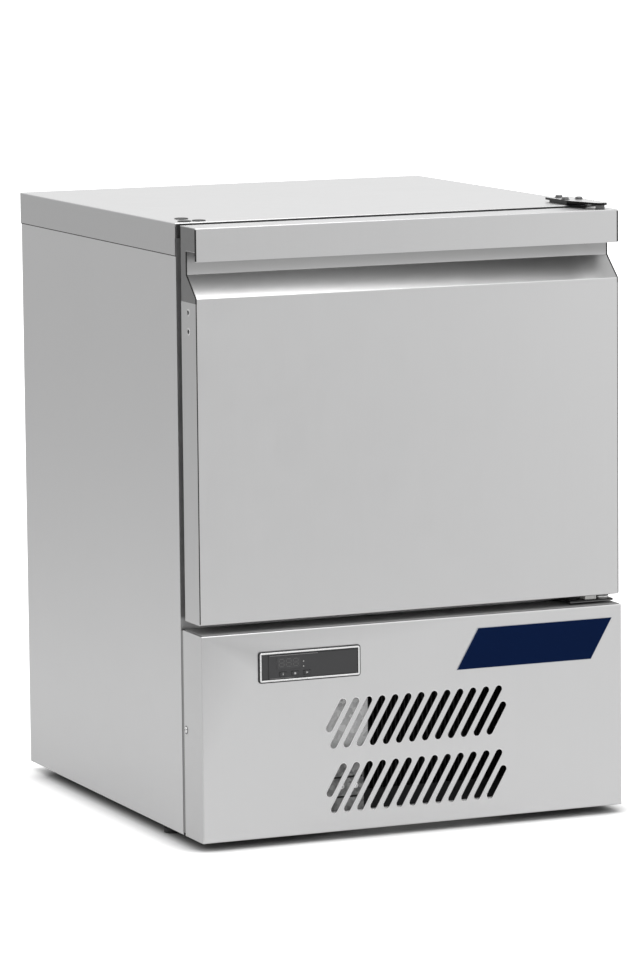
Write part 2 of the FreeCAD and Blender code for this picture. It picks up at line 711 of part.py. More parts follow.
def panel_screws():
    screws = []
    for label, side in SIDES:
        head = rod("screw_head_" + label, "x", (SCREW_Y, SCREW_Z),
                   mirror_span(side, SIDE_OUTER, SIDE_OUTER + S.screw_rise), S.screw_radius)
        shank = rod("screw_shank_" + label, "x", (SCREW_Y, SCREW_Z),
                    mirror_span(side, SIDE_INNER, SIDE_OUTER + 0.5), S.screw_shank)
        screws.append(fuse("screw_" + label, head, shank))
    node(group("panel_screws", *screws), "panel_screws")


def label_plate():
    body = body_named("label_plate")
    top = S.panel_top - S.label_drop
    low = top - S.label_height
    shift = S.label_height * tan_of(S.slot_lean)
    left = SIDE_OUTER - S.label_in - S.label_width - shift
    outline = [(left, low), (left + S.label_width, low), (left + S.label_width + shift, top), (left + shift, top)]
    pad(body, "label_pad", "y", outline, (PANEL_FRONT - S.label_sheet, PANEL_FRONT))
    node(body, "label_plate")


# ---------------------------------------------------------------- controller


FASCIA_BACK = PANEL_FRONT
FASCIA_FRONT = FASCIA_BACK - S.fascia_sheet
FASCIA_X = (BEZEL_LEFT + S.bezel_rim + S.fascia_play, BEZEL_RIGHT - S.bezel_rim - S.fascia_play)
FASCIA_Z = (BEZEL_LOW + S.bezel_rim + S.fascia_play, BEZEL_TOP - S.bezel_rim - S.fascia_play)
KEY_X = [BEZEL_LEFT + 34 + S.key_pitch * i for i in range(3)]
KEY_Z = BEZEL_LOW + 10.5
WINDOW_X = BEZEL_LEFT + 26
WINDOW_Z = BEZEL_LOW + 17.5


def key_outline(i, margin):
    x = (KEY_X[i] - S.key_width / 2, KEY_X[i] + S.key_width / 2)
    z = (KEY_Z - S.key_height / 2, KEY_Z + S.key_height / 2)
    return rectangle(grown(x, margin), grown(z, margin))


def along_y(a, b):
    return near(a.x, b.x) and near(a.z, b.z)


def controller():
    bezel = body_named("controller_bezel")
    front = PANEL_FRONT - S.trim_proud
    outer = pad(bezel, "bezel_block", "y", rectangle((BEZEL_LEFT, BEZEL_RIGHT), (BEZEL_LOW, BEZEL_TOP)),
                (front, PANEL_FRONT))
    outer_round = fillet(bezel, "bezel_corners", outer, S.bezel_round, along_y)
    doc.recompute()
    soft = bezel.newObject("PartDesign::Fillet", "bezel_edge")
    soft.Base = (outer_round, ["Edge" + str(n) for n, e in enumerate(outer_round.Shape.Edges, start=1)
                               if all(near(v.Point.y, front) for v in e.Vertexes)])
    bind(soft, Radius=as_size(1))
    pocket(bezel, "bezel_opening", "y",
           rectangle((BEZEL_LEFT + S.bezel_rim, BEZEL_RIGHT - S.bezel_rim),
                     (BEZEL_LOW + S.bezel_rim, BEZEL_TOP - S.bezel_rim)), (front - 1, PANEL_FRONT + 1))
    node(bezel, "controller_bezel")

    fascia = body_named("controller_fascia")
    pad(fascia, "fascia_pad", "y", rectangle(FASCIA_X, FASCIA_Z), (FASCIA_FRONT, FASCIA_BACK))
    for i in range(3):
        pocket(fascia, "key_hole_" + str(i), "y", key_outline(i, S.key_play), (FASCIA_FRONT - 1, FASCIA_BACK + 1))
    node(fascia, "controller_fascia")

    module = body_named("controller_module")
    pad(module, "module_pad", "y", rectangle(MODULE_X, MODULE_Z), (PANEL_FRONT, PANEL_FRONT + S.module_depth))
    for i in range(3):
        pocket(module, "key_well_" + str(i), "y", key_outline(i, S.key_play),
               (PANEL_FRONT - 1, PANEL_FRONT + S.key_reach + S.key_travel + 0.5))
    node(module, "controller_module")

    window = box("window_glass", (WINDOW_X, WINDOW_X + S.window_width), (FASCIA_FRONT - S.window_rise, FASCIA_FRONT),
                 (WINDOW_Z, WINDOW_Z + S.window_height))
    lamps = [rod("lamp_" + str(i), "y", (WINDOW_X + S.window_width + 3.5, WINDOW_Z + 1.5 + 6.5 * i),
                 (FASCIA_FRONT - S.window_rise, FASCIA_FRONT), as_size(1)) for i in range(2)]
    node(group("display_window", window, *lamps), "display_window")

    for i in range(3):
        key = body_named("key_" + str(i + 1))
        block = pad(key, "key_pad_" + str(i), "y", key_outline(i, as_size(0)),
                    (FASCIA_FRONT - S.key_rise, PANEL_FRONT + S.key_reach))
        fillet(key, "key_corners_" + str(i), block, S.key_round, along_y)
        node(key, "key_" + str(i + 1))


# ---------------------------------------------------------------- door


SLOPE_STEP = S.skin * S.recess_depth / (S.recess_depth + S.slope_drop)
"""Shift of a bend's inner corner along the upright sheets, a close chord to the true mitre."""


def door_outline_inner(rear, low, side_low):
    """The hollow of the door's section: what foam and end caps fill, as (y, z) points."""
    return [(rear, side_low), (rear, DOOR_TOP - S.skin), (DOOR_FRONT + S.skin, DOOR_TOP - S.skin),
            (DOOR_FRONT + S.skin, POCKET_TOP + S.skin), (RECESS_FACE + S.skin, POCKET_TOP + S.skin),
            (RECESS_FACE + S.skin, RECESS_LOW - SLOPE_STEP), (DOOR_FRONT + S.skin, SLOPE_LOW - SLOPE_STEP),
            (DOOR_FRONT + S.skin, low)]


def door_skin():
    body = body_named("door_skin_sheet")
    inner = door_outline_inner(DOOR_BACK, DOOR_LOW + S.skin, DOOR_LOW + S.skin)
    outer = [(DOOR_BACK, DOOR_TOP), (DOOR_FRONT, DOOR_TOP), (DOOR_FRONT, LIP_LOW), (DOOR_FRONT + S.lip_sheet, LIP_LOW),
             (DOOR_FRONT + S.lip_sheet, POCKET_TOP), (RECESS_FACE, POCKET_TOP), (RECESS_FACE, RECESS_LOW),
             (DOOR_FRONT, SLOPE_LOW), (DOOR_FRONT, DOOR_LOW), (DOOR_BACK, DOOR_LOW)]
    section = outer + inner[:1] + list(reversed(inner[1:]))
    folded = pad(body, "skin_fold", "x", section, (-DOOR_HALF, DOOR_HALF))

    def outer_bend(a, b):
        along = near(a.y, b.y) and near(a.z, b.z) and not near(a.x, b.x)
        at_front = near(a.y, DOOR_FRONT) and (near(a.z, DOOR_TOP) or near(a.z, SLOPE_LOW) or near(a.z, DOOR_LOW))
        at_recess = near(a.y, RECESS_FACE) and near(a.z, RECESS_LOW)
        return along and (at_front or at_recess)

    rounded = fillet(body, "skin_bends", folded, S.bend, outer_bend)
    body.Tip = rounded
    pieces = [body]
    for label, side in SIDES:
        x = mirror_span(side, DOOR_HALF - S.skin, DOOR_HALF)
        plate = box("door_flange_plate_" + label, x, (DOOR_FRONT + S.bend, DOOR_BACK), (DOOR_LOW + S.skin / 2, CAP_LOW))
        nose = box("door_flange_nose_" + label, x, (DOOR_FRONT + S.skin / 2, DOOR_FRONT + S.bend + 1),
                   (DOOR_LOW + S.bend, CAP_LOW))
        pieces.append(plate)
        pieces.append(nose)
    holes = lock_holes("skin") + [
        rod("skin_collar_hole", "z", (PIVOT_X, PIVOT_Y), (DOOR_TOP - S.skin - 1, DOOR_TOP + 1), S.collar),
        rod("skin_pin_hole", "z", (PIVOT_X, PIVOT_Y), (DOOR_LOW - 1, DOOR_LOW + S.skin + 1), S.collar),
        box("skin_cam_hole", CAM_X, CAM_Y, (DOOR_LOW - 1, DOOR_LOW + S.skin + 1)),
    ]
    node(cut("door_skin_drilled", fuse("door_skin_folded", *pieces), *holes), "door_skin")


def lock_holes(name):
    """Two blind holes in the door's latch side."""
    holes = []
    for i in range(2):
        z = CAP_LOW - S.lock_hole_drop - S.lock_hole_pitch * i
        x = (-DOOR_HALF - 1, -DOOR_HALF + S.lock_hole_depth)
        holes.append(rod(name + "_lock_hole_" + str(i), "x", (DOOR_FRONT + S.lock_hole_in, z), x, S.lock_hole))
    return holes


LINER_FRONT = DOOR_BACK - S.liner_sheet


def door_inside():
    rear = LINER_FRONT
    plate = box("door_liner", (-DOOR_HALF + S.skin, DOOR_HALF - S.skin), (LINER_FRONT, DOOR_BACK),
                (DOOR_LOW + S.skin, DOOR_TOP - S.skin))
    node(plate, "door_liner")

    cap_section = door_outline_inner(rear, CAP_LOW, CAP_LOW)
    left = body_named("door_end_cap_left")
    pad(left, "left_cap_pad", "x", cap_section, (-DOOR_HALF, -DOOR_HALF + S.cap_depth))
    node(left, "door_end_cap_left")

    right = body_named("door_end_cap_block")
    pad(right, "right_cap_pad", "x", cap_section, (DOOR_HALF - S.hinge_cap_depth, DOOR_HALF))
    collar = rod("cap_collar", "z", (PIVOT_X, PIVOT_Y), (DOOR_TOP - S.skin - 2, HINGE_LOW - S.running_gap), S.collar)
    bore = rod("cap_bore", "z", (PIVOT_X, PIVOT_Y), (DOOR_TOP - S.pin_reach - 2, HINGE_LOW + 1),
               S.pivot_pin + S.pivot_play)
    node(cut("door_end_cap_right", fuse("cap_with_collar", right, collar), bore), "door_end_cap_right")

    block = fuse("pivot_block_with_cam",
                 box("pivot_block_solid", BLOCK_X, (DOOR_FRONT + S.skin, rear),
                     (DOOR_LOW + S.skin, DOOR_LOW + S.skin + S.pivot_block)),
                 box("pivot_cam", CAM_X, CAM_Y, (LOWER_PLATE_TOP + S.running_gap, DOOR_LOW + S.skin + 1)))
    pin_bore = rod("block_bore", "z", (PIVOT_X, PIVOT_Y), (DOOR_LOW, DOOR_LOW + S.pin_reach + 2),
                   S.pivot_pin + S.pivot_play)
    node(cut("door_pivot_block", block, pin_bore), "door_pivot_block")

    foam = body_named("door_foam_body")
    hollow = door_outline_inner(rear, DOOR_LOW + S.skin, DOOR_LOW + S.skin)
    pad(foam, "door_foam_pad", "x", hollow, (-DOOR_HALF + S.skin, DOOR_HALF - S.skin))
    y = (DOOR_FRONT, DOOR_BACK)
    tools = lock_holes("foam") + [
        box("foam_left_cap", (-DOOR_HALF, -DOOR_HALF + S.cap_depth), y, (CAP_LOW, DOOR_TOP)),
        box("foam_right_cap", (DOOR_HALF - S.hinge_cap_depth, DOOR_HALF), y, (CAP_LOW, DOOR_TOP)),
        box("foam_pivot_block", (BLOCK_X[0], DOOR_HALF), y, (DOOR_LOW, DOOR_LOW + S.skin + S.pivot_block)),
    ]
    node(cut("door_foam", foam, *tools), "door_foam")

    out = S.gasket_lap
    inner = out - S.gasket_width
    y = (DOOR_BACK, BODY_FRONT - S.seal_clearance)
    ring_block = box("gasket_block", (-CHAMBER_HALF - out, CHAMBER_HALF + out), y,
                     (CHAMBER_FLOOR - out, CHAMBER_TOP + out))
    ring_hole = box("gasket_hole", (-CHAMBER_HALF - inner, CHAMBER_HALF + inner), grown(y, 1),
                    (CHAMBER_FLOOR - inner, CHAMBER_TOP + inner))
    node(cut("door_gasket", ring_block, ring_hole), "door_gasket")


# ---------------------------------------------------------------- hinges


def hinges():
    body = body_named("top_hinge_blank")
    tip = 10
    inner_x = HALF - 46
    outer_x = HALF - 11
    rear = BODY_FRONT + 64
    outline = [(inner_x, rear), (inner_x, BODY_FRONT - 1), (PIVOT_X - tip, PIVOT_Y - 2), (PIVOT_X - 4, PIVOT_Y - tip),
               (PIVOT_X + 5, PIVOT_Y - tip), (outer_x, PIVOT_Y), (outer_x, rear)]
    pad(body, "top_plate_pad", "z", outline, (HINGE_LOW, HINGE_TOP))
    packer = box("top_packer", (inner_x + 3, outer_x - 3), (BODY_FRONT + 6, rear - 6), (S.height, HINGE_LOW))
    pin = rod("top_pin", "z", (PIVOT_X, PIVOT_Y), (DOOR_TOP - S.pin_reach, HINGE_TOP), S.pivot_pin)
    holes = [rod("top_plate_hole_" + str(i), "z", place, (S.height - 1, HINGE_TOP + 1), S.bolt_shank)
             for i, place in enumerate(hinge_bolts(1))]
    node(cut("top_hinge_plate", fuse("top_hinge_welded", body, packer, pin), *holes), "top_hinge_plate")

    bolts = []
    for i, place in enumerate(hinge_bolts(1)):
        shank = rod("hinge_bolt_shank_" + str(i), "z", place, (S.height - S.bolt_depth, HINGE_TOP + 1), S.bolt_shank)
        head = rod("hinge_bolt_head_" + str(i), "z", place, (HINGE_TOP, HINGE_TOP + S.bolt_head_rise), S.bolt_head)
        bolts.append(fuse("hinge_bolt_" + str(i), shank, head))
    node(group("top_hinge_bolts", *bolts), "top_hinge_bolts")

    plugs = []
    for i, place in enumerate(hinge_bolts(-1)):
        stem = rod("plug_stem_" + str(i), "z", place, (S.height - S.bolt_depth, S.height + 1), S.bolt_shank)
        cap = rod("plug_cap_" + str(i), "z", place, (S.height, S.height + S.plug_rise), S.plug_radius)
        plugs.append(fuse("plug_" + str(i), stem, cap))
    node(group("hinge_hole_plugs", *plugs), "hinge_hole_plugs")

    plate_low, plate_top = LOWER_PLATE_LOW, LOWER_PLATE_TOP
    leg_x = (PIVOT_X - 50, HALF - 8)
    pieces = [
        box("lower_hinge_leg", leg_x, (PIVOT_Y - 9, BODY_FRONT), (plate_low, plate_top)),
        box("lower_hinge_upright", leg_x, (BODY_FRONT - S.hinge_sheet, BODY_FRONT), (plate_low - 30, plate_top)),
        rod("lower_pin", "z", (PIVOT_X, PIVOT_Y), (plate_low, DOOR_LOW + S.pin_reach), S.pivot_pin),
    ]
    node(fuse("bottom_hinge_bracket", *pieces), "bottom_hinge_bracket")
    disc = rod("thrust_disc", "z", (PIVOT_X, PIVOT_Y), (plate_top, DOOR_LOW - S.running_gap), S.thrust_bush)
    bore = rod("thrust_bore", "z", (PIVOT_X, PIVOT_Y), (plate_top - 1, DOOR_LOW), S.pivot_pin)
    node(cut("hinge_thrust_bush", disc, bore), "hinge_thrust_bush")


# ---------------------------------------------------------------- chamber fittings


def racks():
    for label, side in SIDES:
        pieces = []
        upright_x = mirror_span(side, CHAMBER_HALF - S.rack_sheet, CHAMBER_HALF)
        for i, y in enumerate((SHELF_FRONT + 40, SHELF_BACK - 60)):
            pieces.append(box("upright_" + label + str(i), upright_x, (y, y + 20),
                              (CHAMBER_FLOOR, LEVELS[-1] + 40)))
        inner = CHAMBER_HALF - S.rack_sheet
        for i, level in enumerate(LEVELS):
            y = (SHELF_FRONT - 2, SHELF_BACK + 2)
            pieces.append(box("runner_" + label + str(i), mirror_span(side, inner - S.runner_width, inner), y,
                              (level - S.runner_sheet, level)))
            pieces.append(box("runner_web_" + label + str(i), mirror_span(side, inner - S.runner_sheet, inner), y,
                              (level - 14, level)))
        node(fuse("rack_" + label, *pieces), "rack_" + label)


def shelf_grids():
    half = CHAMBER_HALF - S.rack_sheet - S.shelf_play
    bar = S.shelf_bar
    wires = 15
    for i, level in enumerate(LEVELS):
        tag = str(i + 1)
        outer = box("grid_outer_" + tag, (-half, half), (SHELF_FRONT, SHELF_BACK), (level, level + bar))
        inner = box("grid_inner_" + tag, (-half + bar, half - bar), (SHELF_FRONT + bar, SHELF_BACK - bar),
                    (level - 1, level + bar + 1))
        pieces = [cut("grid_border_" + tag, outer, inner)]
        pitch = half * 2 / (wires + 1)
        for n in range(wires):
            x = pitch * (n + 1) - half
            pieces.append(rod("grid_wire_" + tag + "_" + str(n), "y", (x, level + bar / 2),
                              (SHELF_FRONT + bar / 2, SHELF_BACK - bar / 2), S.shelf_wire))
        rib = (SHELF_FRONT + SHELF_BACK) / 2
        pieces.append(box("grid_rib_" + tag, (-half + bar / 2, half - bar / 2), (rib - 2, rib + 2),
                          (level + 1, level + bar - 1)))
        node(fuse("shelf_grid_" + tag, *pieces), "shelf_grid_" + tag)


def fan_shape(centre_x, centre_z, y_low, y_high, hub, tip, bore, blades):
    """Hub with twisted blades about an axis along +Y, drilled from the motor's side."""
    depth = y_high - y_low
    root = Vector(centre_x, y_low, centre_z)
    along = Vector(0, 1, 0)
    whole = Part.makeCylinder(hub, depth, root, along)
    stations = ((hub - 2, 38.0), (tip, 22.0))
    for blade in range(blades):
        wires = []
        for reach, pitch in stations:
            wide = 0.62 * reach + 14
            thick = 2.0
            corners = [Vector(reach, v, u) for u, v in
                       ((-wide / 2, -thick / 2), (wide / 2, -thick / 2), (wide / 2, thick / 2), (-wide / 2, thick / 2))]
            wire = Part.makePolygon(corners + corners[:1])
            wire.rotate(Vector(), Vector(1, 0, 0), pitch)
            wires.append(wire)
        solid = Part.makeLoft(wires, True, True)
        keep = Part.makeCylinder(tip, depth, Vector(0, -depth / 2, 0), along)
        solid = solid.common(keep)
        solid.rotate(Vector(), along, 360.0 / blades * blade)
        solid.translate(root + along * (depth / 2))
        whole = whole.fuse(solid)
    drilled = Part.makeCylinder(bore, depth - 4, root + along * 4, along)
    return whole.cut(drilled).removeSplitter()


SHAFT = 3
SHAFT_PLAY = 0.05


def evaporator():
    edge = S.cowl_sheet
    half = CHAMBER_HALF - 1
    low = CHAMBER_FLOOR + S.cowl_air_gap
    top = CHAMBER_TOP - S.cowl_air_gap
    pieces = [box("cowl_face", (-half, half), (COWL_FRONT, COWL_BACK), (low, top))]
    for label, side in SIDES:
        pieces.append(box("cowl_return_" + label, mirror_span(side, half - edge, half), (COWL_FRONT, CHAMBER_BACK),
                          (low, top)))
    hole = rod("cowl_fan_hole", "y", (0, FAN_Z), (COWL_FRONT - 1, COWL_BACK + 1), S.chamber_fan + S.fan_play)
    node(cut("evaporator_cowl", fuse("cowl_folded", *pieces), hole), "evaporator_cowl")

    wire = as_size(1.6)
    guard_y = (COWL_FRONT - 3, COWL_FRONT)
    rim = S.chamber_fan + S.fan_play + 6
    pieces = []
    for n, radius in enumerate((as_size(22), as_size(40), as_size(58), as_size(76), rim)):
        disc = rod("guard_disc_" + str(n), "y", (0, FAN_Z), guard_y, radius + wire)
        middle = rod("guard_middle_" + str(n), "y", (0, FAN_Z), grown(guard_y, 1), radius - wire)
        pieces.append(cut("guard_ring_" + str(n), disc, middle))
    spoke_y = (COWL_FRONT - 2.5, COWL_FRONT - 0.5)
    pieces.append(box("guard_spoke_x", (-rim, rim), spoke_y, (FAN_Z - wire, FAN_Z + wire)))
    pieces.append(box("guard_spoke_z", (-wire, wire), spoke_y, (FAN_Z - rim, FAN_Z + rim)))
    node(fuse("evaporator_fan_guard", *pieces), "evaporator_fan_guard")

    fan_y = (COWL_BACK + 4, COWL_BACK + 34)
    motor_y = (fan_y[1] + 4, fan_y[1] + 44)
    reach = S.chamber_fan + S.fan_play + 8
    strap_y = (motor_y[1] - 1, motor_y[1] + 3)
    pieces = [
        rod("fan_motor_can", "y", (0, FAN_Z), motor_y, as_size(34)),
        rod("fan_motor_shaft", "y", (0, FAN_Z), (fan_y[0] + 6, motor_y[0] + 2), as_size(SHAFT)),
        box("fan_strap", (-reach - 6, reach + 6), strap_y, (FAN_Z - 10, FAN_Z + 10)),
    ]
    for label, side in SIDES:
        x = mirror_span(side, reach, reach + 6)
        pieces.append(box("fan_leg_" + label, x, (COWL_BACK, strap_y[1]), (FAN_Z - 10, FAN_Z + 10)))
    node(fuse("evaporator_fan_motor", *pieces), "evaporator_fan_motor")
    blades = fan_shape(0, FAN_Z.value, fan_y[0].value, fan_y[1].value, 22, S.chamber_fan.value, SHAFT + SHAFT_PLAY, 5)
    node(feature("evaporator_fan_blades", blades), "evaporator_fan_blades")

    coil_front = CHAMBER_BACK - 4 - S.coil_depth
    coil_low = CHAMBER_FLOOR + S.drip_rise + S.drip_height + S.coil_rise
    coil_top = CHAMBER_TOP - S.coil_drop
    half = S.coil_width / 2
    pieces = [box("evaporator_core", (-half, half), (coil_front + 12, CHAMBER_BACK - 16), (coil_low + 6, coil_top - 6))]
    fins = 30
    pitch = (S.coil_width - 2) / fins
    for n in range(fins + 1):
        x = pitch * n - half
        back = CHAMBER_BACK if n in (0, fins) else CHAMBER_BACK - 4
        pieces.append(box("evaporator_fin_" + str(n), (x, x + 2), (coil_front, back), (coil_low, coil_top)))
    node(fuse("evaporator_coil", *pieces), "evaporator_coil")

    x, y, _ = pipe_places()["drain"]
    half = S.coil_width / 2 + 5
    tray_low = CHAMBER_FLOOR + S.drip_rise
    tray_top = tray_low + S.drip_height
    outer = fuse("drip_outer", box("drip_block", (-half, half), (coil_front - 20, CHAMBER_BACK), (tray_low, tray_top)),
                 rod("drip_spout", "z", (x, y), (S.floor_gap + 60, tray_low + 1), S.drain_pipe))
    hollow = box("drip_hollow", (-half + 1.5, half - 1.5), (coil_front - 18.5, CHAMBER_BACK - 1.5),
                 (tray_low + 1.5, tray_top + 1))
    bore = rod("drip_bore", "z", (x, y), (S.floor_gap + 59, tray_low + 2), S.drain_pipe - 1.5)
    node(cut("evaporator_drip_tray", outer, hollow, bore), "evaporator_drip_tray")

    clip_x = (-CHAMBER_HALF, -CHAMBER_HALF + 12)
    clip_z = CHAMBER_TOP - 22
    clip = box("probe_clip", clip_x, (SHELF_BACK - 10, SHELF_BACK), (clip_z - 5, clip_z + 5))
    stem = rod("probe_stem", "y", (-CHAMBER_HALF + 8, clip_z), (SHELF_BACK - 45, SHELF_BACK + 6), as_size(3))
    node(fuse("air_probe", clip, stem), "air_probe")


# ---------------------------------------------------------------- machine compartment


def pipe_shape(radius, bend, points):
    """A round bar along straight runs joined by tangent arcs."""
    edges = []
    start = points[0]
    for before, corner, after in zip(points, points[1:], points[2:]):
        to_before = (before - corner).normalize()
        to_after = (after - corner).normalize()
        turn = math.pi - to_before.getAngle(to_after)
        reach = bend * math.tan(turn / 2)
        first = corner + to_before * reach
        last = corner + to_after * reach
        inward = (to_before + to_after).normalize()
        middle = corner + inward * (bend / math.cos(turn / 2) - bend)
        edges.append(Part.LineSegment(start, first).toShape())
        edges.append(Part.Arc(first, middle, last).toShape())
        start = last
    edges.append(Part.LineSegment(start, points[-1]).toShape())
    path = Part.Wire(edges)
    section = Part.Wire(Part.Circle(points[0], points[1] - points[0], radius).toShape())
    return path.makePipeShell([section], True, False)


CONDENSER_RIGHT = SIDE_INNER - S.condenser_in
CONDENSER_FRONT = BODY_FRONT + S.condenser_set_back
CONDENSER_BACK = CONDENSER_FRONT + S.condenser_depth
SHROUD_BACK = CONDENSER_BACK + S.shroud_depth
CONDENSER_FAN_X = (S.condenser_left + CONDENSER_RIGHT) / 2
CONDENSER_FAN_Z = (TRAY_TOP + S.condenser_top) / 2
COMPRESSOR_X = HALF * -1 + 140
COMPRESSOR_Y = BODY_FRONT + 350
COMPRESSOR_LOW = TRAY_TOP + S.mount_height + 3


def condenser():
    left, right = S.condenser_left, CONDENSER_RIGHT
    core = box("condenser_core", (left, right), (CONDENSER_FRONT + 10, CONDENSER_BACK - 8),
               (TRAY_TOP + 16, S.condenser_top - 6))
    pieces = [core]
    fins = 44
    pitch = (right - left - 2) / fins
    for n in range(fins + 1):
        x = left + pitch * n
        low = TRAY_TOP if n in (0, fins) else TRAY_TOP + 10
        pieces.append(box("condenser_fin_" + str(n), (x, x + 2), (CONDENSER_FRONT, CONDENSER_BACK),
                          (low, S.condenser_top)))
    node(fuse("condenser_coil", *pieces), "condenser_coil")

    edge = S.frame_sheet
    outer = box("shroud_outer", (left, right), (CONDENSER_BACK, SHROUD_BACK), (TRAY_TOP, S.condenser_top))
    inner = box("shroud_inner", (left + edge, right - edge), (CONDENSER_BACK - 1, SHROUD_BACK - edge),
                (TRAY_TOP + edge, S.condenser_top - edge))
    hole = rod("shroud_hole", "y", (CONDENSER_FAN_X, CONDENSER_FAN_Z), (SHROUD_BACK - edge - 1, SHROUD_BACK + 1),
               S.condenser_fan + S.fan_play)
    node(cut("condenser_shroud", outer, inner, hole), "condenser_shroud")

    fan_y = (SHROUD_BACK - 12, SHROUD_BACK + 14)
    motor_y = (fan_y[1] + 4, fan_y[1] + 48)
    strap_y = (motor_y[1] - 1, motor_y[1] + 3)
    reach = S.condenser_fan + S.fan_play + 6
    x, z = CONDENSER_FAN_X, CONDENSER_FAN_Z
    pieces = [
        rod("cooling_motor_can", "y", (x, z), motor_y, as_size(32)),
        rod("cooling_motor_shaft", "y", (x, z), (fan_y[0] + 6, motor_y[0] + 2), as_size(SHAFT)),
        box("cooling_strap", (x - 10, x + 10), strap_y, (z - reach - 6, z + reach + 6)),
        box("cooling_leg_low", (x - 10, x + 10), (SHROUD_BACK, strap_y[1]), (z - reach - 6, z - reach)),
        box("cooling_leg_top", (x - 10, x + 10), (SHROUD_BACK, strap_y[1]), (z + reach, z + reach + 6)),
    ]
    node(fuse("condenser_fan_motor", *pieces), "condenser_fan_motor")
    blades = fan_shape(x.value, z.value, fan_y[0].value, fan_y[1].value, 20, S.condenser_fan.value,
                       SHAFT + SHAFT_PLAY, 5)
    node(feature("condenser_fan_blades", blades), "condenser_fan_blades")


def compressor():
    x, y, low = COMPRESSOR_X, COMPRESSOR_Y, COMPRESSOR_LOW
    can = rod("compressor_can", "z", (x, y), (low - 1, low + S.compressor_height), S.compressor_radius)
    doc.recompute()
    dome = doc.addObject("Part::Fillet", "compressor_dome")
    dome.Base = can
    circles = [n for n, e in enumerate(can.Shape.Edges, start=1)
               if isinstance(e.Curve, Part.Circle) and near(e.Curve.Center.z, low + S.compressor_height)]
    dome.Edges = [(n, 34.0, 34.0) for n in circles]
    pieces = [
        dome,
        box("compressor_plate", (x - 88, x + 88), (y - 68, y + 68), (low - 3, low)),
        box("compressor_terminals", (x + S.compressor_radius - 8, x + S.compressor_radius + 24), (y - 24, y + 24),
            (low + 50, low + 110)),
    ]
    node(fuse("compressor", *pieces), "compressor")
    mounts = []
    for i, (dx, dy) in enumerate(((-76, -56), (76, -56), (76, 56), (-76, 56))):
        mounts.append(rod("mount_" + str(i), "z", (x + dx, y + dy), (TRAY_TOP, low - 3), as_size(11)))
    node(group("compressor_mounts", *mounts), "compressor_mounts")


def electrics():
    x = (-SIDE_INNER + 6, S.condenser_left - 3)
    y = (BODY_FRONT + 8, BODY_FRONT + 150)
    pieces = [box("electrical_case", x, y, (TRAY_TOP + 52, DECK_LOW - 42))]
    for i, y0 in enumerate((BODY_FRONT + 20, BODY_FRONT + 130)):
        pieces.append(box("electrical_stand_" + str(i), (x[0] + 40, x[1] - 50), (y0, y0 + 3),
                          (TRAY_TOP, TRAY_TOP + 53)))
    node(fuse("electrical_box", *pieces), "electrical_box")

    y_out = BACK_OUTER + S.gland_depth
    pieces = [
        rod("gland_barrel", "y", (GLAND_X, GLAND_Z), (BACK_INNER - 10, y_out - 2), S.gland_thread),
        rod("gland_nut", "y", (GLAND_X, GLAND_Z), (BACK_INNER - 6, BACK_INNER), S.gland_radius + 1),
        rod("gland_body", "y", (GLAND_X, GLAND_Z), (BACK_OUTER, y_out), S.gland_radius),
    ]
    bore = rod("gland_bore_tool", "y", (GLAND_X, GLAND_Z), (BACK_INNER - 11, y_out + 1), S.gland_bore)
    node(cut("mains_gland", fuse("gland_solid", *pieces), bore), "mains_gland")


def condensate_tray():
    x = (as_size(-105), as_size(105))
    y = (BACK_INNER - 108, BACK_INNER - 10)
    top = TRAY_TOP + 46
    outer = box("condensate_block", x, y, (TRAY_TOP, top))
    inner = box("condensate_hollow", (x[0] + 2, x[1] - 2), (y[0] + 2, y[1] - 2), (TRAY_TOP + 2, top + 1))
    node(cut("condensate_tray", outer, inner), "condensate_tray")


def refrigerant_lines():
    def point(x, y, z):
        return Vector(as_size(x).value, as_size(y).value, as_size(z).value)

    sx, sy, _ = pipe_places()["suction"]
    lx, ly, _ = pipe_places()["liquid"]
    coil_end = S.coil_width / -2
    shell_top = COMPRESSOR_LOW + S.compressor_height
    suction = pipe_shape(S.suction_pipe.value, 16.0, [
        point(coil_end, sy, FAN_Z - 60), point(sx, sy, FAN_Z - 60), point(sx, sy, shell_top - 60),
        point(sx, COMPRESSOR_Y + 60, shell_top - 60), point(COMPRESSOR_X - S.compressor_radius - 40, COMPRESSOR_Y,
                                                            shell_top - 60)])
    node(feature("suction_line", suction), "suction_line")

    over = shell_top + 22
    end_x = CONDENSER_RIGHT + 20
    header_y = CONDENSER_FRONT + 20
    discharge = pipe_shape(S.liquid_pipe.value, 14.0, [
        point(COMPRESSOR_X + 30, COMPRESSOR_Y, shell_top), point(COMPRESSOR_X + 30, COMPRESSOR_Y, over),
        point(end_x, COMPRESSOR_Y, over), point(end_x, header_y, over),
        point(end_x, header_y, S.condenser_top - 60), point(CONDENSER_RIGHT, header_y, S.condenser_top - 60)])
    node(feature("discharge_line", discharge), "discharge_line")

    out_x = S.condenser_left - 22
    out_z = TRAY_TOP + 30
    back_y = BACK_INNER - 128
    up_z = DECK_LOW - 60
    liquid = pipe_shape(S.liquid_pipe.value, 8.0, [
        point(S.condenser_left, header_y, out_z), point(out_x, header_y, out_z), point(out_x, back_y, out_z),
        point(out_x, back_y, up_z), point(lx, back_y, up_z), point(lx, ly, up_z), point(lx, ly, FAN_Z + 40),
        point(coil_end, ly, FAN_Z + 40)])
    drier = Part.makeCylinder(11, 90, point(out_x, back_y - 180, out_z), Vector(0, 1, 0))
    node(feature("liquid_line", liquid.fuse(drier).removeSplitter()), "liquid_line")


# ---------------------------------------------------------------- build


side_panels()
worktop()
back_panel()
rear_spacers()
front_frame()
chamber_shell()
base_tray()
feet()
service_panel()
panel_screws()
label_plate()
controller()
door_skin()
door_inside()
hinges()
racks()
shelf_grids()
evaporator()
condenser()
compressor()
electrics()
condensate_tray()
refrigerant_lines()
doc.recompute()

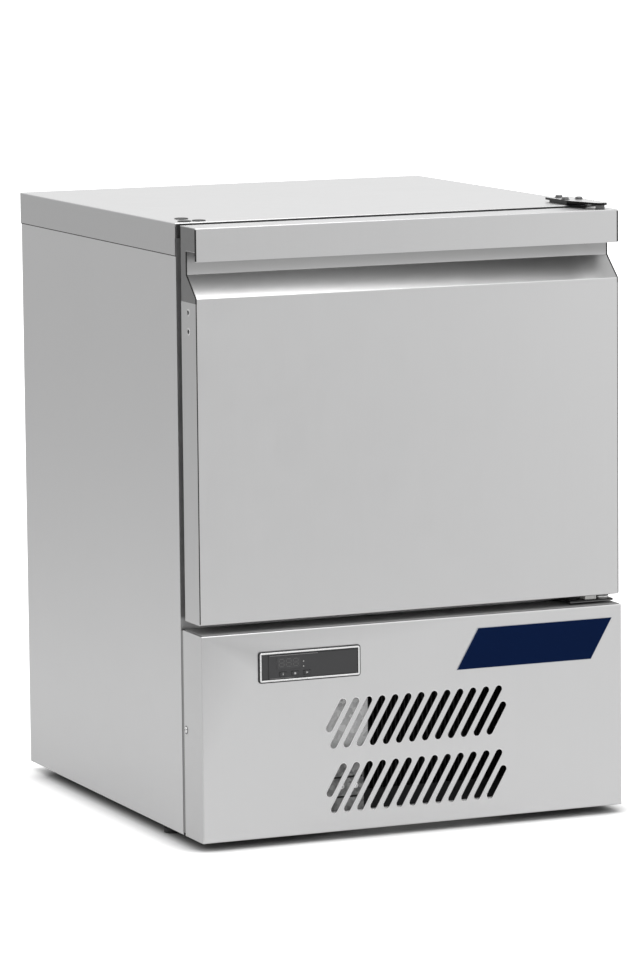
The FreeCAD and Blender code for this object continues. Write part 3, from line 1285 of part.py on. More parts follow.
failed = [thing.Name for thing in doc.Objects if "Invalid" in thing.State or "Error" in thing.State]
bad = [thing.Label for thing in NODES if thing.Shape.isNull() or not thing.Shape.isValid()]
if failed or bad:
    raise SystemExit("failed objects: " + str(failed) + ", bad shapes: " + str(bad))

os.makedirs("parts", exist_ok=True)
for piece in NODES:
    piece.Shape.exportStep(os.path.join("parts", piece.Label + ".step"))
print(len(NODES), "pieces written")
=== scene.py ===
import math

import bmesh
import bpy
from mathutils import Matrix, Vector


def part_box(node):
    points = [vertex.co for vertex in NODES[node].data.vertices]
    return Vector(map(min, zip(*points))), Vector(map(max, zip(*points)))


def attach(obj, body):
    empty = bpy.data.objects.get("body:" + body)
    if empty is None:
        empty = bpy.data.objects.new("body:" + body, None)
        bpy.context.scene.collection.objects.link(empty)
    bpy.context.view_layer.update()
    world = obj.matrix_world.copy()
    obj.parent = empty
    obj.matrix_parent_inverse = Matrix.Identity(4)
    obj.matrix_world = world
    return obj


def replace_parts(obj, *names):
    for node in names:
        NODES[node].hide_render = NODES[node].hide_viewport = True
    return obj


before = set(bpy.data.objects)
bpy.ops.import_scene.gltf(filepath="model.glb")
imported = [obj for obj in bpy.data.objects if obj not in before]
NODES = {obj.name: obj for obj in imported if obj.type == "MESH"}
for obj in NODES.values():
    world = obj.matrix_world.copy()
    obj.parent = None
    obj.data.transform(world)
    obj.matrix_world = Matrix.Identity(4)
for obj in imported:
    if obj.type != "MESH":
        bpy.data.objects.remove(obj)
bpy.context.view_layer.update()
SCENE = bpy.context.scene
MM = 0.001

# ---------------------------------------------------------------- shared shader groups


def new_group(name, inputs, outputs):
    """An empty shader group with named sockets; inputs are (name, type, default)."""
    tree = bpy.data.node_groups.new(name, "ShaderNodeTree")
    for label, kind, default in inputs:
        socket = tree.interface.new_socket(name=label, in_out="INPUT", socket_type=kind)
        if default is not None:
            socket.default_value = default
    for label, kind in outputs:
        tree.interface.new_socket(name=label, in_out="OUTPUT", socket_type=kind)
    return tree, tree.nodes.new("NodeGroupInput"), tree.nodes.new("NodeGroupOutput")


def add(tree, kind, **settings):
    """A node with settings; a key that starts with 'in_' sets the input of that index."""
    made = tree.nodes.new(kind)
    for key, value in settings.items():
        if key.startswith("in_"):
            made.inputs[int(key[3:])].default_value = value
        else:
            setattr(made, key, value)
    return made


def math_node(tree, operation, first, second=None, clamp=False):
    """A Math node fed by sockets or numbers."""
    made = add(tree, "ShaderNodeMath", operation=operation, use_clamp=clamp)
    for index, value in enumerate((first, second)):
        if value is None:
            continue
        if isinstance(value, (int, float)):
            made.inputs[index].default_value = value
        else:
            tree.links.new(value, made.inputs[index])
    return made.outputs[0]


def mix_colours(tree, factor, first, second, blend="MIX"):
    """A colour Mix node fed by sockets or colours."""
    made = add(tree, "ShaderNodeMix", data_type="RGBA", blend_type=blend)
    for index, value in ((0, factor), (6, first), (7, second)):
        if isinstance(value, (int, float, tuple)):
            made.inputs[index].default_value = value
        else:
            tree.links.new(value, made.inputs[index])
    return made.outputs[2]


def ramp_between(tree, value, span, tones=(0.0, 1.0), smooth=True):
    """A value that runs from one tone to the other as the input crosses a span."""
    made = add(tree, "ShaderNodeMapRange", interpolation_type="SMOOTHSTEP" if smooth else "LINEAR",
               in_1=span[0], in_2=span[1], in_3=tones[0], in_4=tones[1])
    tree.links.new(value, made.inputs[0])
    return made.outputs[0]


def scaled(tree, colour, gain):
    """A colour made lighter or darker by a gain."""
    made = add(tree, "ShaderNodeVectorMath", operation="SCALE")
    tree.links.new(colour, made.inputs[0])
    tree.links.new(gain, made.inputs[3])
    return made.outputs[0]


def grain_group():
    """Brushed sheet: streaks along one direction, slow tone drift and faint wiping marks."""
    tree, given, result = new_group(
        "brushed_sheet",
        [("Coordinates", "NodeSocketVector", None), ("Streak Scale", "NodeSocketVector", (40.0, 40.0, 900.0)),
         ("Colour", "NodeSocketColor", (0.6, 0.6, 0.6, 1)), ("Contrast", "NodeSocketFloat", 0.06),
         ("Roughness", "NodeSocketFloat", 0.34)],
        [("Colour", "NodeSocketColor"), ("Roughness", "NodeSocketFloat"), ("Height", "NodeSocketFloat")])
    link = tree.links.new
    stretch = add(tree, "ShaderNodeVectorMath", operation="MULTIPLY")
    link(given.outputs["Coordinates"], stretch.inputs[0])
    link(given.outputs["Streak Scale"], stretch.inputs[1])
    streaks = add(tree, "ShaderNodeTexNoise", noise_dimensions="3D", in_2=1.0, in_3=4.0, in_4=0.62)
    link(stretch.outputs[0], streaks.inputs["Vector"])
    drift = add(tree, "ShaderNodeTexNoise", noise_dimensions="3D", in_2=3.2, in_3=2.0, in_4=0.5)
    link(given.outputs["Coordinates"], drift.inputs["Vector"])
    wiped = add(tree, "ShaderNodeTexNoise", noise_dimensions="3D", in_2=11.0, in_3=5.0, in_4=0.7, in_8=1.4)
    link(given.outputs["Coordinates"], wiped.inputs["Vector"])
    streak_off = math_node(tree, "SUBTRACT", streaks.outputs[0], 0.5)
    drift_off = math_node(tree, "SUBTRACT", drift.outputs[0], 0.5)
    swing = math_node(tree, "ADD", streak_off, math_node(tree, "MULTIPLY", drift_off, 0.7))
    gain = math_node(tree, "ADD", math_node(tree, "MULTIPLY", swing, given.outputs["Contrast"]), 1.0)
    link(scaled(tree, given.outputs["Colour"], gain), result.inputs["Colour"])
    wiped_off = math_node(tree, "SUBTRACT", wiped.outputs[0], 0.5)
    rough = math_node(tree, "ADD", given.outputs["Roughness"], math_node(tree, "MULTIPLY", wiped_off, 0.10))
    rough = math_node(tree, "ADD", rough, math_node(tree, "MULTIPLY", streak_off, 0.16))
    link(rough, result.inputs["Roughness"])
    link(streaks.outputs[0], result.inputs["Height"])
    return tree


def moulded_group():
    """Moulded plastic or paint: fine texture and slow tone drift."""
    tree, given, result = new_group(
        "moulded_surface",
        [("Coordinates", "NodeSocketVector", None), ("Grain Scale", "NodeSocketFloat", 900.0),
         ("Colour", "NodeSocketColor", (0.2, 0.2, 0.2, 1)), ("Variation", "NodeSocketFloat", 0.15),
         ("Roughness", "NodeSocketFloat", 0.5)],
        [("Colour", "NodeSocketColor"), ("Roughness", "NodeSocketFloat"), ("Height", "NodeSocketFloat")])
    link = tree.links.new
    grain = add(tree, "ShaderNodeTexNoise", noise_dimensions="3D", in_3=3.0, in_4=0.6)
    link(given.outputs["Coordinates"], grain.inputs["Vector"])
    link(given.outputs["Grain Scale"], grain.inputs["Scale"])
    drift = add(tree, "ShaderNodeTexNoise", noise_dimensions="3D", in_2=14.0, in_3=4.0, in_4=0.6)
    link(given.outputs["Coordinates"], drift.inputs["Vector"])
    drift_off = math_node(tree, "SUBTRACT", drift.outputs[0], 0.5)
    gain = math_node(tree, "ADD", math_node(tree, "MULTIPLY", drift_off, given.outputs["Variation"]), 1.0)
    link(scaled(tree, given.outputs["Colour"], gain), result.inputs["Colour"])
    grain_off = math_node(tree, "SUBTRACT", grain.outputs[0], 0.5)
    rough = math_node(tree, "ADD", given.outputs["Roughness"], math_node(tree, "MULTIPLY", drift_off, 0.2))
    link(math_node(tree, "ADD", rough, math_node(tree, "MULTIPLY", grain_off, 0.12)), result.inputs["Roughness"])
    link(grain.outputs[0], result.inputs["Height"])
    return tree


# Pointiness where a surface's edge starts to be lightened, and where it is fully lightened.
POINTED = (0.505, 0.56)


def edge_wear_and_highlight_group():
    """Corners and folds made lighter, from how sharply the surface turns: worn edges on coated parts, a painted
    highlight on steel.
    """
    tree, given, result = new_group(
        "edge_wear_and_highlight",
        [("Colour", "NodeSocketColor", (0.5, 0.5, 0.5, 1)), ("Rubbed", "NodeSocketColor", (0.8, 0.8, 0.8, 1)),
         ("Amount", "NodeSocketFloat", 0.5)],
        [("Colour", "NodeSocketColor")])
    link = tree.links.new
    shape = add(tree, "ShaderNodeNewGeometry")
    sharp = ramp_between(tree, shape.outputs["Pointiness"], POINTED, smooth=False)
    mask = math_node(tree, "MULTIPLY", sharp, given.outputs["Amount"], clamp=True)
    link(mix_colours(tree, mask, given.outputs["Colour"], given.outputs["Rubbed"]), result.inputs["Colour"])
    return tree


def spangle_group():
    """Galvanised sheet: crystal facets of differing tone, dulled by fine handling marks."""
    tree, given, result = new_group(
        "zinc_spangle",
        [("Coordinates", "NodeSocketVector", None), ("Facet Scale", "NodeSocketFloat", 160.0),
         ("Colour", "NodeSocketColor", (0.6, 0.6, 0.6, 1)), ("Contrast", "NodeSocketFloat", 0.25),
         ("Roughness", "NodeSocketFloat", 0.4)],
        [("Colour", "NodeSocketColor"), ("Roughness", "NodeSocketFloat"), ("Height", "NodeSocketFloat")])
    link = tree.links.new
    facets = add(tree, "ShaderNodeTexVoronoi", voronoi_dimensions="3D", feature="F1")
    link(given.outputs["Coordinates"], facets.inputs["Vector"])
    link(given.outputs["Facet Scale"], facets.inputs["Scale"])
    apart = add(tree, "ShaderNodeSeparateColor")
    link(facets.outputs["Color"], apart.inputs[0])
    marks = add(tree, "ShaderNodeTexNoise", noise_dimensions="3D", in_2=60.0, in_3=5.0, in_4=0.65, in_8=1.2)
    link(given.outputs["Coordinates"], marks.inputs["Vector"])
    swing = math_node(tree, "ADD", math_node(tree, "SUBTRACT", apart.outputs[0], 0.5),
                      math_node(tree, "SUBTRACT", marks.outputs[0], 0.5))
    gain = math_node(tree, "ADD", math_node(tree, "MULTIPLY", swing, given.outputs["Contrast"]), 1.0)
    link(scaled(tree, given.outputs["Colour"], gain), result.inputs["Colour"])
    rough_swing = math_node(tree, "MULTIPLY", math_node(tree, "SUBTRACT", apart.outputs[1], 0.5), 0.16)
    link(math_node(tree, "ADD", given.outputs["Roughness"], rough_swing), result.inputs["Roughness"])
    link(marks.outputs[0], result.inputs["Height"])
    return tree


BRUSHED = grain_group()
SPANGLED = spangle_group()
MOULDED = moulded_group()
EDGE_WEAR_AND_HIGHLIGHT = edge_wear_and_highlight_group()


def start_material(name):
    material = bpy.data.materials.new(name)
    material.use_nodes = True
    return material, material.node_tree, material.node_tree.nodes["Principled BSDF"]


def place_group(tree, group, **values):
    made = tree.nodes.new("ShaderNodeGroup")
    made.node_tree = group
    for key, value in values.items():
        made.inputs[key.replace("_", " ")].default_value = value
    return made


def bump_from(tree, height, strength, distance, shader):
    made = add(tree, "ShaderNodeBump")
    made.inputs["Strength"].default_value = strength
    made.inputs["Distance"].default_value = distance
    tree.links.new(height, made.inputs["Height"])
    tree.links.new(made.outputs[0], shader.inputs["Normal"])


STREAKS = {"x": (12.0, 700.0, 700.0), "z": (700.0, 700.0, 12.0)}
# Edge colours: worn edges of coated parts, and the painted highlight on the steel's corners and folds.
EDGE_TONE, EDGE_HIGHLIGHT_TONE = (0.5, 0.5, 0.5, 1), (0.86, 0.86, 0.86, 1)

# Painted reflection and shade along the grip's slope, as (place, tone) over SLOPE_SPAN from left to right.
GRIP_REFLECTION_TONES = ((0.0, 0.90), (0.30, 0.84), (0.60, 0.62), (0.84, 0.40), (0.89, 0.34), (0.925, 0.47), (0.95, 0.34),
              (1.0, 0.40))
# Places in metres: the slope's extent, where the recess's shade sets in and ends, and where the lip's painted shade
# begins.
SLOPE_SPAN, SLOPE_FOOT, SLOPE_HEAD, SLOPE_FACE = (-0.3, 0.3), 0.716, 0.7455, -0.3256
SHADE_RISE, SHADE_DEPTH, SHADE_TOP, SHADE_RIGHT = (0.731, 0.757), (-0.3235, -0.312), (0.795, 0.785), (0.262, 0.284)
SHADE_TONE, LIP_EDGE, LIP_SHADE_TONE = 0.22, (0.760, 0.764), 0.93


def recess_shade(tree, where, colour):
    """Tones set to stand in for the grip recess's shade and reflections, which the plain light lacks."""
    apart = add(tree, "ShaderNodeSeparateXYZ")
    tree.links.new(where.outputs["Object"], apart.inputs[0])
    x, y, z = apart.outputs
    mask = math_node(tree, "MULTIPLY", ramp_between(tree, z, SHADE_RISE), ramp_between(tree, y, SHADE_DEPTH))
    mask = math_node(tree, "MULTIPLY", mask, ramp_between(tree, z, SHADE_TOP, smooth=False))
    tones = add(tree, "ShaderNodeValToRGB")
    stops = tones.color_ramp.elements
    for place, tone in GRIP_REFLECTION_TONES[1:-1]:
        stops.new(place).color = (tone, tone, tone, 1)
    for stop, (place, tone) in ((stops[0], GRIP_REFLECTION_TONES[0]), (stops[-1], GRIP_REFLECTION_TONES[-1])):
        stop.color = (tone, tone, tone, 1)
    tree.links.new(ramp_between(tree, x, SLOPE_SPAN, smooth=False), tones.inputs[0])
    slope = math_node(tree, "MULTIPLY", math_node(tree, "LESS_THAN", z, SLOPE_HEAD),
                      math_node(tree, "GREATER_THAN", y, SLOPE_FACE))
    slope = math_node(tree, "MULTIPLY", slope, math_node(tree, "GREATER_THAN", z, SLOPE_FOOT))
    # The slope takes these painted reflection tones in place of the steel's own colour.
    colour = mix_colours(tree, slope, colour, tones.outputs[0])
    corner = math_node(tree, "MULTIPLY", ramp_between(tree, x, SHADE_RIGHT), slope)
    mask = math_node(tree, "MAXIMUM", mask, corner)
    # Painted shade: the door is darker from the lip's lower edge upwards.
    colour = scaled(tree, colour, ramp_between(tree, z, LIP_EDGE, (1.0, LIP_SHADE_TONE), smooth=False))
    dark = (SHADE_TONE, SHADE_TONE, SHADE_TONE, 1)
    shaded = mix_colours(tree, 1.0, tones.outputs[0], dark, blend="MULTIPLY")
    return mix_colours(tree, mask, colour, shaded)


def steel(name, tone, roughness, along="z", contrast=0.05, recessed=False):
    """Brushed stainless sheet with its streaks along x or z; recessed adds the grip recess's painted shade and
    reflections.
    """
    material, tree, shader = start_material(name)
    where = add(tree, "ShaderNodeTexCoord")
    grain = place_group(tree, BRUSHED, Streak_Scale=STREAKS[along], Colour=(tone, tone, tone * 1.005, 1),
                        Contrast=contrast, Roughness=roughness)
    tree.links.new(where.outputs["Object"], grain.inputs["Coordinates"])
    # The steel's corners and folds are painted lighter as a highlight.
    edge_highlight = place_group(tree, EDGE_WEAR_AND_HIGHLIGHT, Rubbed=EDGE_HIGHLIGHT_TONE, Amount=0.35)
    colour = grain.outputs["Colour"]
    if recessed:
        colour = recess_shade(tree, where, colour)
    tree.links.new(colour, edge_highlight.inputs["Colour"])
    tree.links.new(edge_highlight.outputs["Colour"], shader.inputs["Base Color"])
    tree.links.new(grain.outputs["Roughness"], shader.inputs["Roughness"])
    shader.inputs["Metallic"].default_value = 1.0
    bump_from(tree, grain.outputs["Height"], 0.04, 0.0004, shader)
    return material


def moulded(name, colour, roughness, scale=900.0, variation=0.15, relief=0.08, metallic=0.0, wear=0.0,
            specular=0.5):
    """Plastic, rubber, paint or cast surface with a fine texture."""
    material, tree, shader = start_material(name)
    where = add(tree, "ShaderNodeTexCoord")
    skin = place_group(tree, MOULDED, Grain_Scale=scale, Colour=(*colour, 1), Variation=variation,
                       Roughness=roughness)
    tree.links.new(where.outputs["Object"], skin.inputs["Coordinates"])
    colour = skin.outputs["Colour"]
    if wear:
        edge = place_group(tree, EDGE_WEAR_AND_HIGHLIGHT, Rubbed=EDGE_TONE, Amount=wear)
        tree.links.new(colour, edge.inputs["Colour"])
        colour = edge.outputs["Colour"]
    tree.links.new(colour, shader.inputs["Base Color"])
    tree.links.new(skin.outputs["Roughness"], shader.inputs["Roughness"])
    shader.inputs["Metallic"].default_value = metallic
    shader.inputs["Specular IOR Level"].default_value = specular
    bump_from(tree, skin.outputs["Height"], relief, 0.0003, shader)
    return material


def galvanised(name, tone, facet_scale, contrast, metallic=0.9, roughness=0.40):
    """Zinc-coated sheet with its crystal spangle."""
    material, tree, shader = start_material(name)
    where = add(tree, "ShaderNodeTexCoord")
    spangle = place_group(tree, SPANGLED, Facet_Scale=facet_scale, Colour=(tone, tone, tone, 1), Contrast=contrast,
                          Roughness=roughness)
    tree.links.new(where.outputs["Object"], spangle.inputs["Coordinates"])
    tree.links.new(spangle.outputs["Colour"], shader.inputs["Base Color"])
    tree.links.new(spangle.outputs["Roughness"], shader.inputs["Roughness"])
    shader.inputs["Metallic"].default_value = metallic
    bump_from(tree, spangle.outputs["Height"], 0.05, 0.0003, shader)
    return material


def painted_highlight_plate(name, top, edge):
    """Plate with a painted highlight on its upper face, its edges and underside left black."""
    material, tree, shader = start_material(name)
    where = add(tree, "ShaderNodeTexCoord")
    grain = place_group(tree, BRUSHED, Streak_Scale=STREAKS["x"], Colour=(*top, 1), Contrast=0.25, Roughness=0.26)
    tree.links.new(where.outputs["Object"], grain.inputs["Coordinates"])
    apart = add(tree, "ShaderNodeSeparateXYZ")
    tree.links.new(where.outputs["Normal"], apart.inputs[0])
    # Faces turned upwards take the painted highlight.
    upper = ramp_between(tree, apart.outputs[2], (0.5, 0.9), smooth=False)
    colour = mix_colours(tree, upper, (*edge, 1), grain.outputs["Colour"])
    tree.links.new(colour, shader.inputs["Base Color"])
    tree.links.new(grain.outputs["Roughness"], shader.inputs["Roughness"])
    shader.inputs["Metallic"].default_value = 0.9
    bump_from(tree, grain.outputs["Height"], 0.05, 0.0003, shader)
    return material


# One brushed stainless steel in copies of differing tone: the tones are set apart as painted light and shade, for how
# light falls on each face.
STEEL_DOOR = steel("steel_door", 0.51, 0.33, "z", recessed=True)
STEEL_PANEL = steel("steel_panel", 0.54, 0.33, "z")
STEEL_SIDE = steel("steel_side", 0.63, 0.36, "z")
STEEL_TOP = steel("steel_top", 0.485, 0.34, "x")
STEEL_FRAME = steel("steel_frame", 0.50, 0.38, "z")
STEEL_INSIDE = steel("steel_inside", 0.58, 0.30, "z", contrast=0.08)
ZINC = galvanised("zinc_sheet", 0.56, 120.0, 0.14)
CHROME = moulded("bright_wire", (0.80, 0.80, 0.80), 0.16, scale=400.0, variation=0.05, metallic=1.0, relief=0.01)
HINGE_STEEL = moulded("hinge_steel", (0.020, 0.020, 0.021), 0.36, metallic=0.7, wear=0.3)
HINGE_TOP = painted_highlight_plate("hinge_plate_steel", (0.62, 0.62, 0.62), (0.018, 0.018, 0.018))
CAP_GREY = moulded("cap_grey", (0.19, 0.19, 0.19), 0.42, scale=1400.0, variation=0.10)
BLACK_PLASTIC = moulded("black_plastic", (0.018, 0.018, 0.018), 0.40, scale=1200.0)
FASCIA = moulded("fascia_plastic", (0.045, 0.045, 0.047), 0.38, scale=1500.0, variation=0.08)
WHITE_PLASTIC = moulded("white_plastic", (0.78, 0.78, 0.76), 0.45)
WINDOW = moulded("smoked_window", (0.060, 0.060, 0.062), 0.20, variation=0.10, relief=0.01)
LABEL_NAVY = moulded("label_navy", (0.0030, 0.0125, 0.056), 0.40, scale=2000.0, variation=0.10, specular=0.03)
RUBBER = moulded("seal_rubber", (0.016, 0.016, 0.017), 0.62, scale=700.0)
FOOT_BLACK = moulded("foot_black", (0.015, 0.015, 0.015), 0.55)
FOAM = moulded("cut_foam", (0.72, 0.62, 0.36), 0.85, scale=260.0, variation=0.3, relief=0.5)
BLACK_COAT = moulded("black_coat", (0.014, 0.014, 0.015), 0.42, scale=500.0, wear=0.25)
COPPER = moulded("drawn_copper", (0.72, 0.34, 0.20), 0.30, scale=120.0, variation=0.5, metallic=1.0, relief=0.03)
ALUMINIUM = moulded("mill_aluminium", (0.72, 0.73, 0.74), 0.34, scale=300.0, variation=0.15, metallic=1.0)
# Near-black for dark joints and the condenser coil, and for thin lines and bores where shade and a dark reflection are
# painted in.
DARK_JOINT_AND_SHADE = moulded("dark_joint_and_shade", (0.012, 0.012, 0.012), 0.7, scale=600.0)
GALVANISED = galvanised("galvanised_box", 0.84, 170.0, 0.45, metallic=0.1, roughness=0.5)
DULL_PLATE = galvanised("dulled_plate", 0.34, 200.0, 0.9, metallic=0.2, roughness=0.5)
# The base tray is painted near-black as the shade inside the machine bay.
TRAY_SHADE_DARK = moulded("tray_painted_shade", (0.020, 0.020, 0.021), 0.6, scale=300.0)
# Grey strips painted in as shade round the service panel.
SHADE_STRIP_GREY = moulded("shade_strip_grey", (0.30, 0.30, 0.30), 0.8, scale=500.0)
BOLT_BLACK = moulded("blackened_screw", (0.030, 0.030, 0.032), 0.34, scale=800.0, metallic=0.6, wear=0.4)
RIM_HIGHLIGHT_STEEL = moulded("slot_rim_highlight", (0.66, 0.66, 0.66), 0.24, scale=500.0, variation=0.2, metallic=1.0, relief=0.02)
FRAME_BLACK = moulded("frame_black", (0.016, 0.016, 0.017), 0.36, scale=1300.0)
BEAD_BRIGHT = moulded("bead_bright", (0.95, 0.95, 0.95), 0.30, scale=300.0, variation=0.03, metallic=0.3, relief=0.01)
INSERT_HIGHLIGHT_GREY = moulded("insert_highlight_grey", (0.34, 0.34, 0.34), 0.35, scale=900.0)
SEGMENT_GREY = moulded("unlit_segment", (0.095, 0.095, 0.095), 0.30, scale=900.0, variation=0.1, relief=0.02)
LAMP_LENS = moulded("lamp_lens", (0.52, 0.52, 0.50), 0.22, scale=700.0, relief=0.02)
MARK_PALE = moulded("key_mark_pale", (0.55, 0.55, 0.55), 0.45, scale=1500.0)
LABEL_EDGE = moulded("label_edge_pale", (0.34, 0.38, 0.46), 0.40, scale=1500.0)

# Each finish with the CAD nodes that wear it.
FINISHES = (
    (STEEL_TOP, "worktop"),
    (STEEL_SIDE, "side_panel_left side_panel_right"),
    (ZINC, "back_panel machine_deck"),
    (BLACK_PLASTIC, "rear_spacers controller_module hinge_hole_plugs evaporator_fan_blades air_probe"
                    " condensate_tray mains_gland"),
    (STEEL_FRAME, "front_frame"),
    (STEEL_INSIDE, "chamber_liner door_liner rack_left rack_right evaporator_cowl evaporator_drip_tray"),
    (FOAM, "insulation_foam door_foam"),
    (TRAY_SHADE_DARK, "base_tray"),
    (STEEL_PANEL, "service_panel"),
    (CHROME, "panel_screws controller_bezel shelf_grid_1 shelf_grid_2 shelf_grid_3 evaporator_fan_guard"),
    (LABEL_NAVY, "label_plate"),
    (FASCIA, "controller_fascia key_1 key_2 key_3"),
    (WINDOW, "display_window"),
    (HINGE_TOP, "top_hinge_plate"),
    (HINGE_STEEL, "top_hinge_bolts bottom_hinge_bracket"),
    (WHITE_PLASTIC, "hinge_thrust_bush door_pivot_block"),
    (STEEL_DOOR, "door_skin"),
    (CAP_GREY, "door_end_cap_left door_end_cap_right"),
    (RUBBER, "door_gasket"),
    (BLACK_COAT, "evaporator_fan_motor compressor condenser_shroud condenser_fan_motor"),
    (ALUMINIUM, "evaporator_coil condenser_fan_blades"),
    (FOOT_BLACK, "compressor_mounts foot_front_left foot_front_right foot_rear_left foot_rear_right"),
    (DARK_JOINT_AND_SHADE, "condenser_coil"),
    (GALVANISED, "electrical_box"),
    (COPPER, "suction_line discharge_line liquid_line"),
)
for finish, names in FINISHES:
    for name in names.split():
        for holder in NODES[name].material_slots:
            holder.material = finish

# ---------------------------------------------------------------- making meshes, all sizes in mm


def finish_piece(name, bm, materials, body, crease=35.0):
    """Turn a bmesh in millimetres into a smooth-shaded piece that rides on a body."""
    bmesh.ops.scale(bm, vec=(MM, MM, MM), verts=bm.verts)
    bmesh.ops.recalc_face_normals(bm, faces=bm.faces)
    mesh = bpy.data.meshes.new(name)
    bm.to_mesh(mesh)
    bm.free()
    mesh.shade_smooth()
    mesh.set_sharp_from_angle(angle=math.radians(crease))
    for material in materials if isinstance(materials, (list, tuple)) else [materials]:
        mesh.materials.append(material)
    piece = bpy.data.objects.new(name, mesh)
    SCENE.collection.objects.link(piece)
    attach(piece, body)
    return piece


def add_loops(bm, loops, close_along=False, caps=(False, False), finish=0):
    """Skin a row of closed loops of points; caps closes the first and the last loop."""
    rings = [[bm.verts.new(point) for point in loop] for loop in loops]
    pairs = list(zip(rings, rings[1:])) + ([(rings[-1], rings[0])] if close_along else [])
    for low, high in pairs:
        for i in range(len(low)):
            j = (i + 1) % len(low)
            bm.faces.new((low[i], low[j], high[j], high[i])).material_index = finish
    for wanted, ring in zip(caps, (rings[0], rings[-1])):
        if wanted:
            bm.faces.new(ring).material_index = finish


def rounded_loop(x, z, radius, steps=6):
    """Points and outward normals round a rectangle with rounded corners, as (x, z, nx, nz)."""
    points = []
    corners = ((x[1], z[0], -90), (x[1], z[1], 0), (x[0], z[1], 90), (x[0], z[0], 180))
    for corner_x, corner_z, start in corners:
        middle_x = corner_x + (radius if corner_x == x[0] else -radius)
        middle_z = corner_z + (radius if corner_z == z[0] else -radius)
        for i in range(steps + 1):
            turn = math.radians(start + 90 * i / steps)
            nx, nz = math.cos(turn), math.sin(turn)
            points.append((middle_x + radius * nx, middle_z + radius * nz, nx, nz))
    return points


def stadium_loop(low, high, radius, steps=6):
    """Points and outward normals round a slot between two end centres, as (x, z, nx, nz)."""
    lean = math.atan2(high[1] - low[1], high[0] - low[0])
    points = []
    for (x, z), start in ((high, lean - math.pi / 2), (low, lean + math.pi / 2)):
        for i in range(steps + 1):
            turn = start + math.pi * i / steps
            nx, nz = math.cos(turn), math.sin(turn)
            points.append((x + radius * nx, z + radius * nz, nx, nz))
    return points


def add_frame(bm, path, profile, finish=0):
    """Carry a closed (outward, y) profile round a closed path in the front plane."""
    loops = [[(x + nx * out, y, z + nz * out) for x, z, nx, nz in path] for out, y in profile]
    add_loops(bm, loops, close_along=True, finish=finish)


def add_turned(bm, profile, centre, axis="z", sides=28, finish=0, shape=None):
    """Turn an open (radius, height) profile about an axis; shape changes the radius with the angle."""
    loops = []
    for k, (radius, height) in enumerate(profile):
        loop = []
        for i in range(sides):
            turn = 2 * math.pi * i / sides
            r = max(radius, 0.01) * (shape(k, turn) if shape else 1.0)
            a, b = r * math.cos(turn), r * math.sin(turn)
            place = {"z": (a, b, height), "y": (a, height, b), "x": (height, a, b)}[axis]
            loop.append(tuple(c + p for c, p in zip(centre, place)))
        loops.append(loop)
    add_loops(bm, loops, caps=(True, True), finish=finish)


def add_prism(bm, outline, y):
    """A flat piece with its outline as (x, z) points between two y values."""
    add_loops(bm, [[(x, depth, z) for x, z in outline] for depth in (y[1], y[0])], caps=(True, True))


def add_block(bm, x, y, z, chamfer=0.4, finish=0):
    """A block with all its edges chamfered."""
    (x0, x1), (y0, y1), (z0, z1) = x, y, z
    c = chamfer

    def ring(level, inset):
        a0, a1, b0, b1 = x0 + inset, x1 - inset, y0 + inset, y1 - inset
        return [(a0 + c, b0, level), (a1 - c, b0, level), (a1, b0 + c, level), (a1, b1 - c, level),
                (a1 - c, b1, level), (a0 + c, b1, level), (a0, b1 - c, level), (a0, b0 + c, level)]

    add_loops(bm, [ring(z0, c), ring(z0 + c, 0), ring(z1 - c, 0), ring(z1, c)], caps=(True, True), finish=finish)


def wire(name, points, radius, material, body, rounding=0.0, closed=False):
    """A round wire or tube through points, its inner corners rounded if asked."""
    if rounding:
        points = rounded_points(points, rounding)
    data = bpy.data.curves.new(name, "CURVE")
    data.dimensions = "3D"
    data.bevel_depth = radius * MM
    data.bevel_resolution = 4
    data.use_fill_caps = True
    spline = data.splines.new("POLY")
    spline.points.add(len(points) - 1)
    for knot, point in zip(spline.points, points):
        knot.co = (point[0] * MM, point[1] * MM, point[2] * MM, 1)
    spline.use_cyclic_u = closed
    data.materials.append(material)
    piece = bpy.data.objects.new(name, data)
    SCENE.collection.objects.link(piece)
    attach(piece, body)


def rounded_points(points, radius, steps=6):
    """The same path with each inner corner replaced by a smooth bend."""
    path = [Vector(points[0])]
    for before, corner, after in zip(points, points[1:], points[2:]):
        corner = Vector(corner)
        back, ahead = Vector(before) - corner, Vector(after) - corner
        reach = min(radius, back.length * 0.48, ahead.length * 0.48)
        start, end = corner + back.normalized() * reach, corner + ahead.normalized() * reach
        for i in range(steps + 1):
            t = i / steps
            path.append(start * (1 - t) ** 2 + corner * 2 * t * (1 - t) + end * t * t)
    path.append(Vector(points[-1]))
    return path


# ---------------------------------------------------------------- door details

DOOR_SIDE, DOOR_FRONT, DOOR_TOP, LIP_LOW = 300.0, -326.0, 807.5, 764.0
RECESS_FACE, RECESS_LOW, SLOPE_LOW, POCKET_TOP = -294.0, 745.5, 717.0, 776.0


def door_seal():
    """The magnetic seal: a bellows with a broad magnet pad, mitred softly at its corners."""
    path = rounded_loop((-278.5, 278.5), (320.0, 772.0), 6.0)
    profile = [(-4.6, -275.0), (4.6, -275.0), (5.4, -273.6), (3.0, -272.0), (3.4, -271.0), (6.0, -269.4),
               (7.3, -267.4), (7.4, -264.6), (6.6, -262.8), (3.2, -262.4), (0.0, -262.7), (-3.2, -262.4),
               (-6.6, -262.8), (-7.4, -264.6), (-7.2, -267.6), (-5.2, -269.4), (-3.0, -271.2), (-3.0, -272.2),
               (-5.4, -273.6)]
    bm = bmesh.new()
    add_frame(bm, path, profile)
    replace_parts(finish_piece("door_seal", bm, RUBBER, "door", crease=50), "door_gasket")


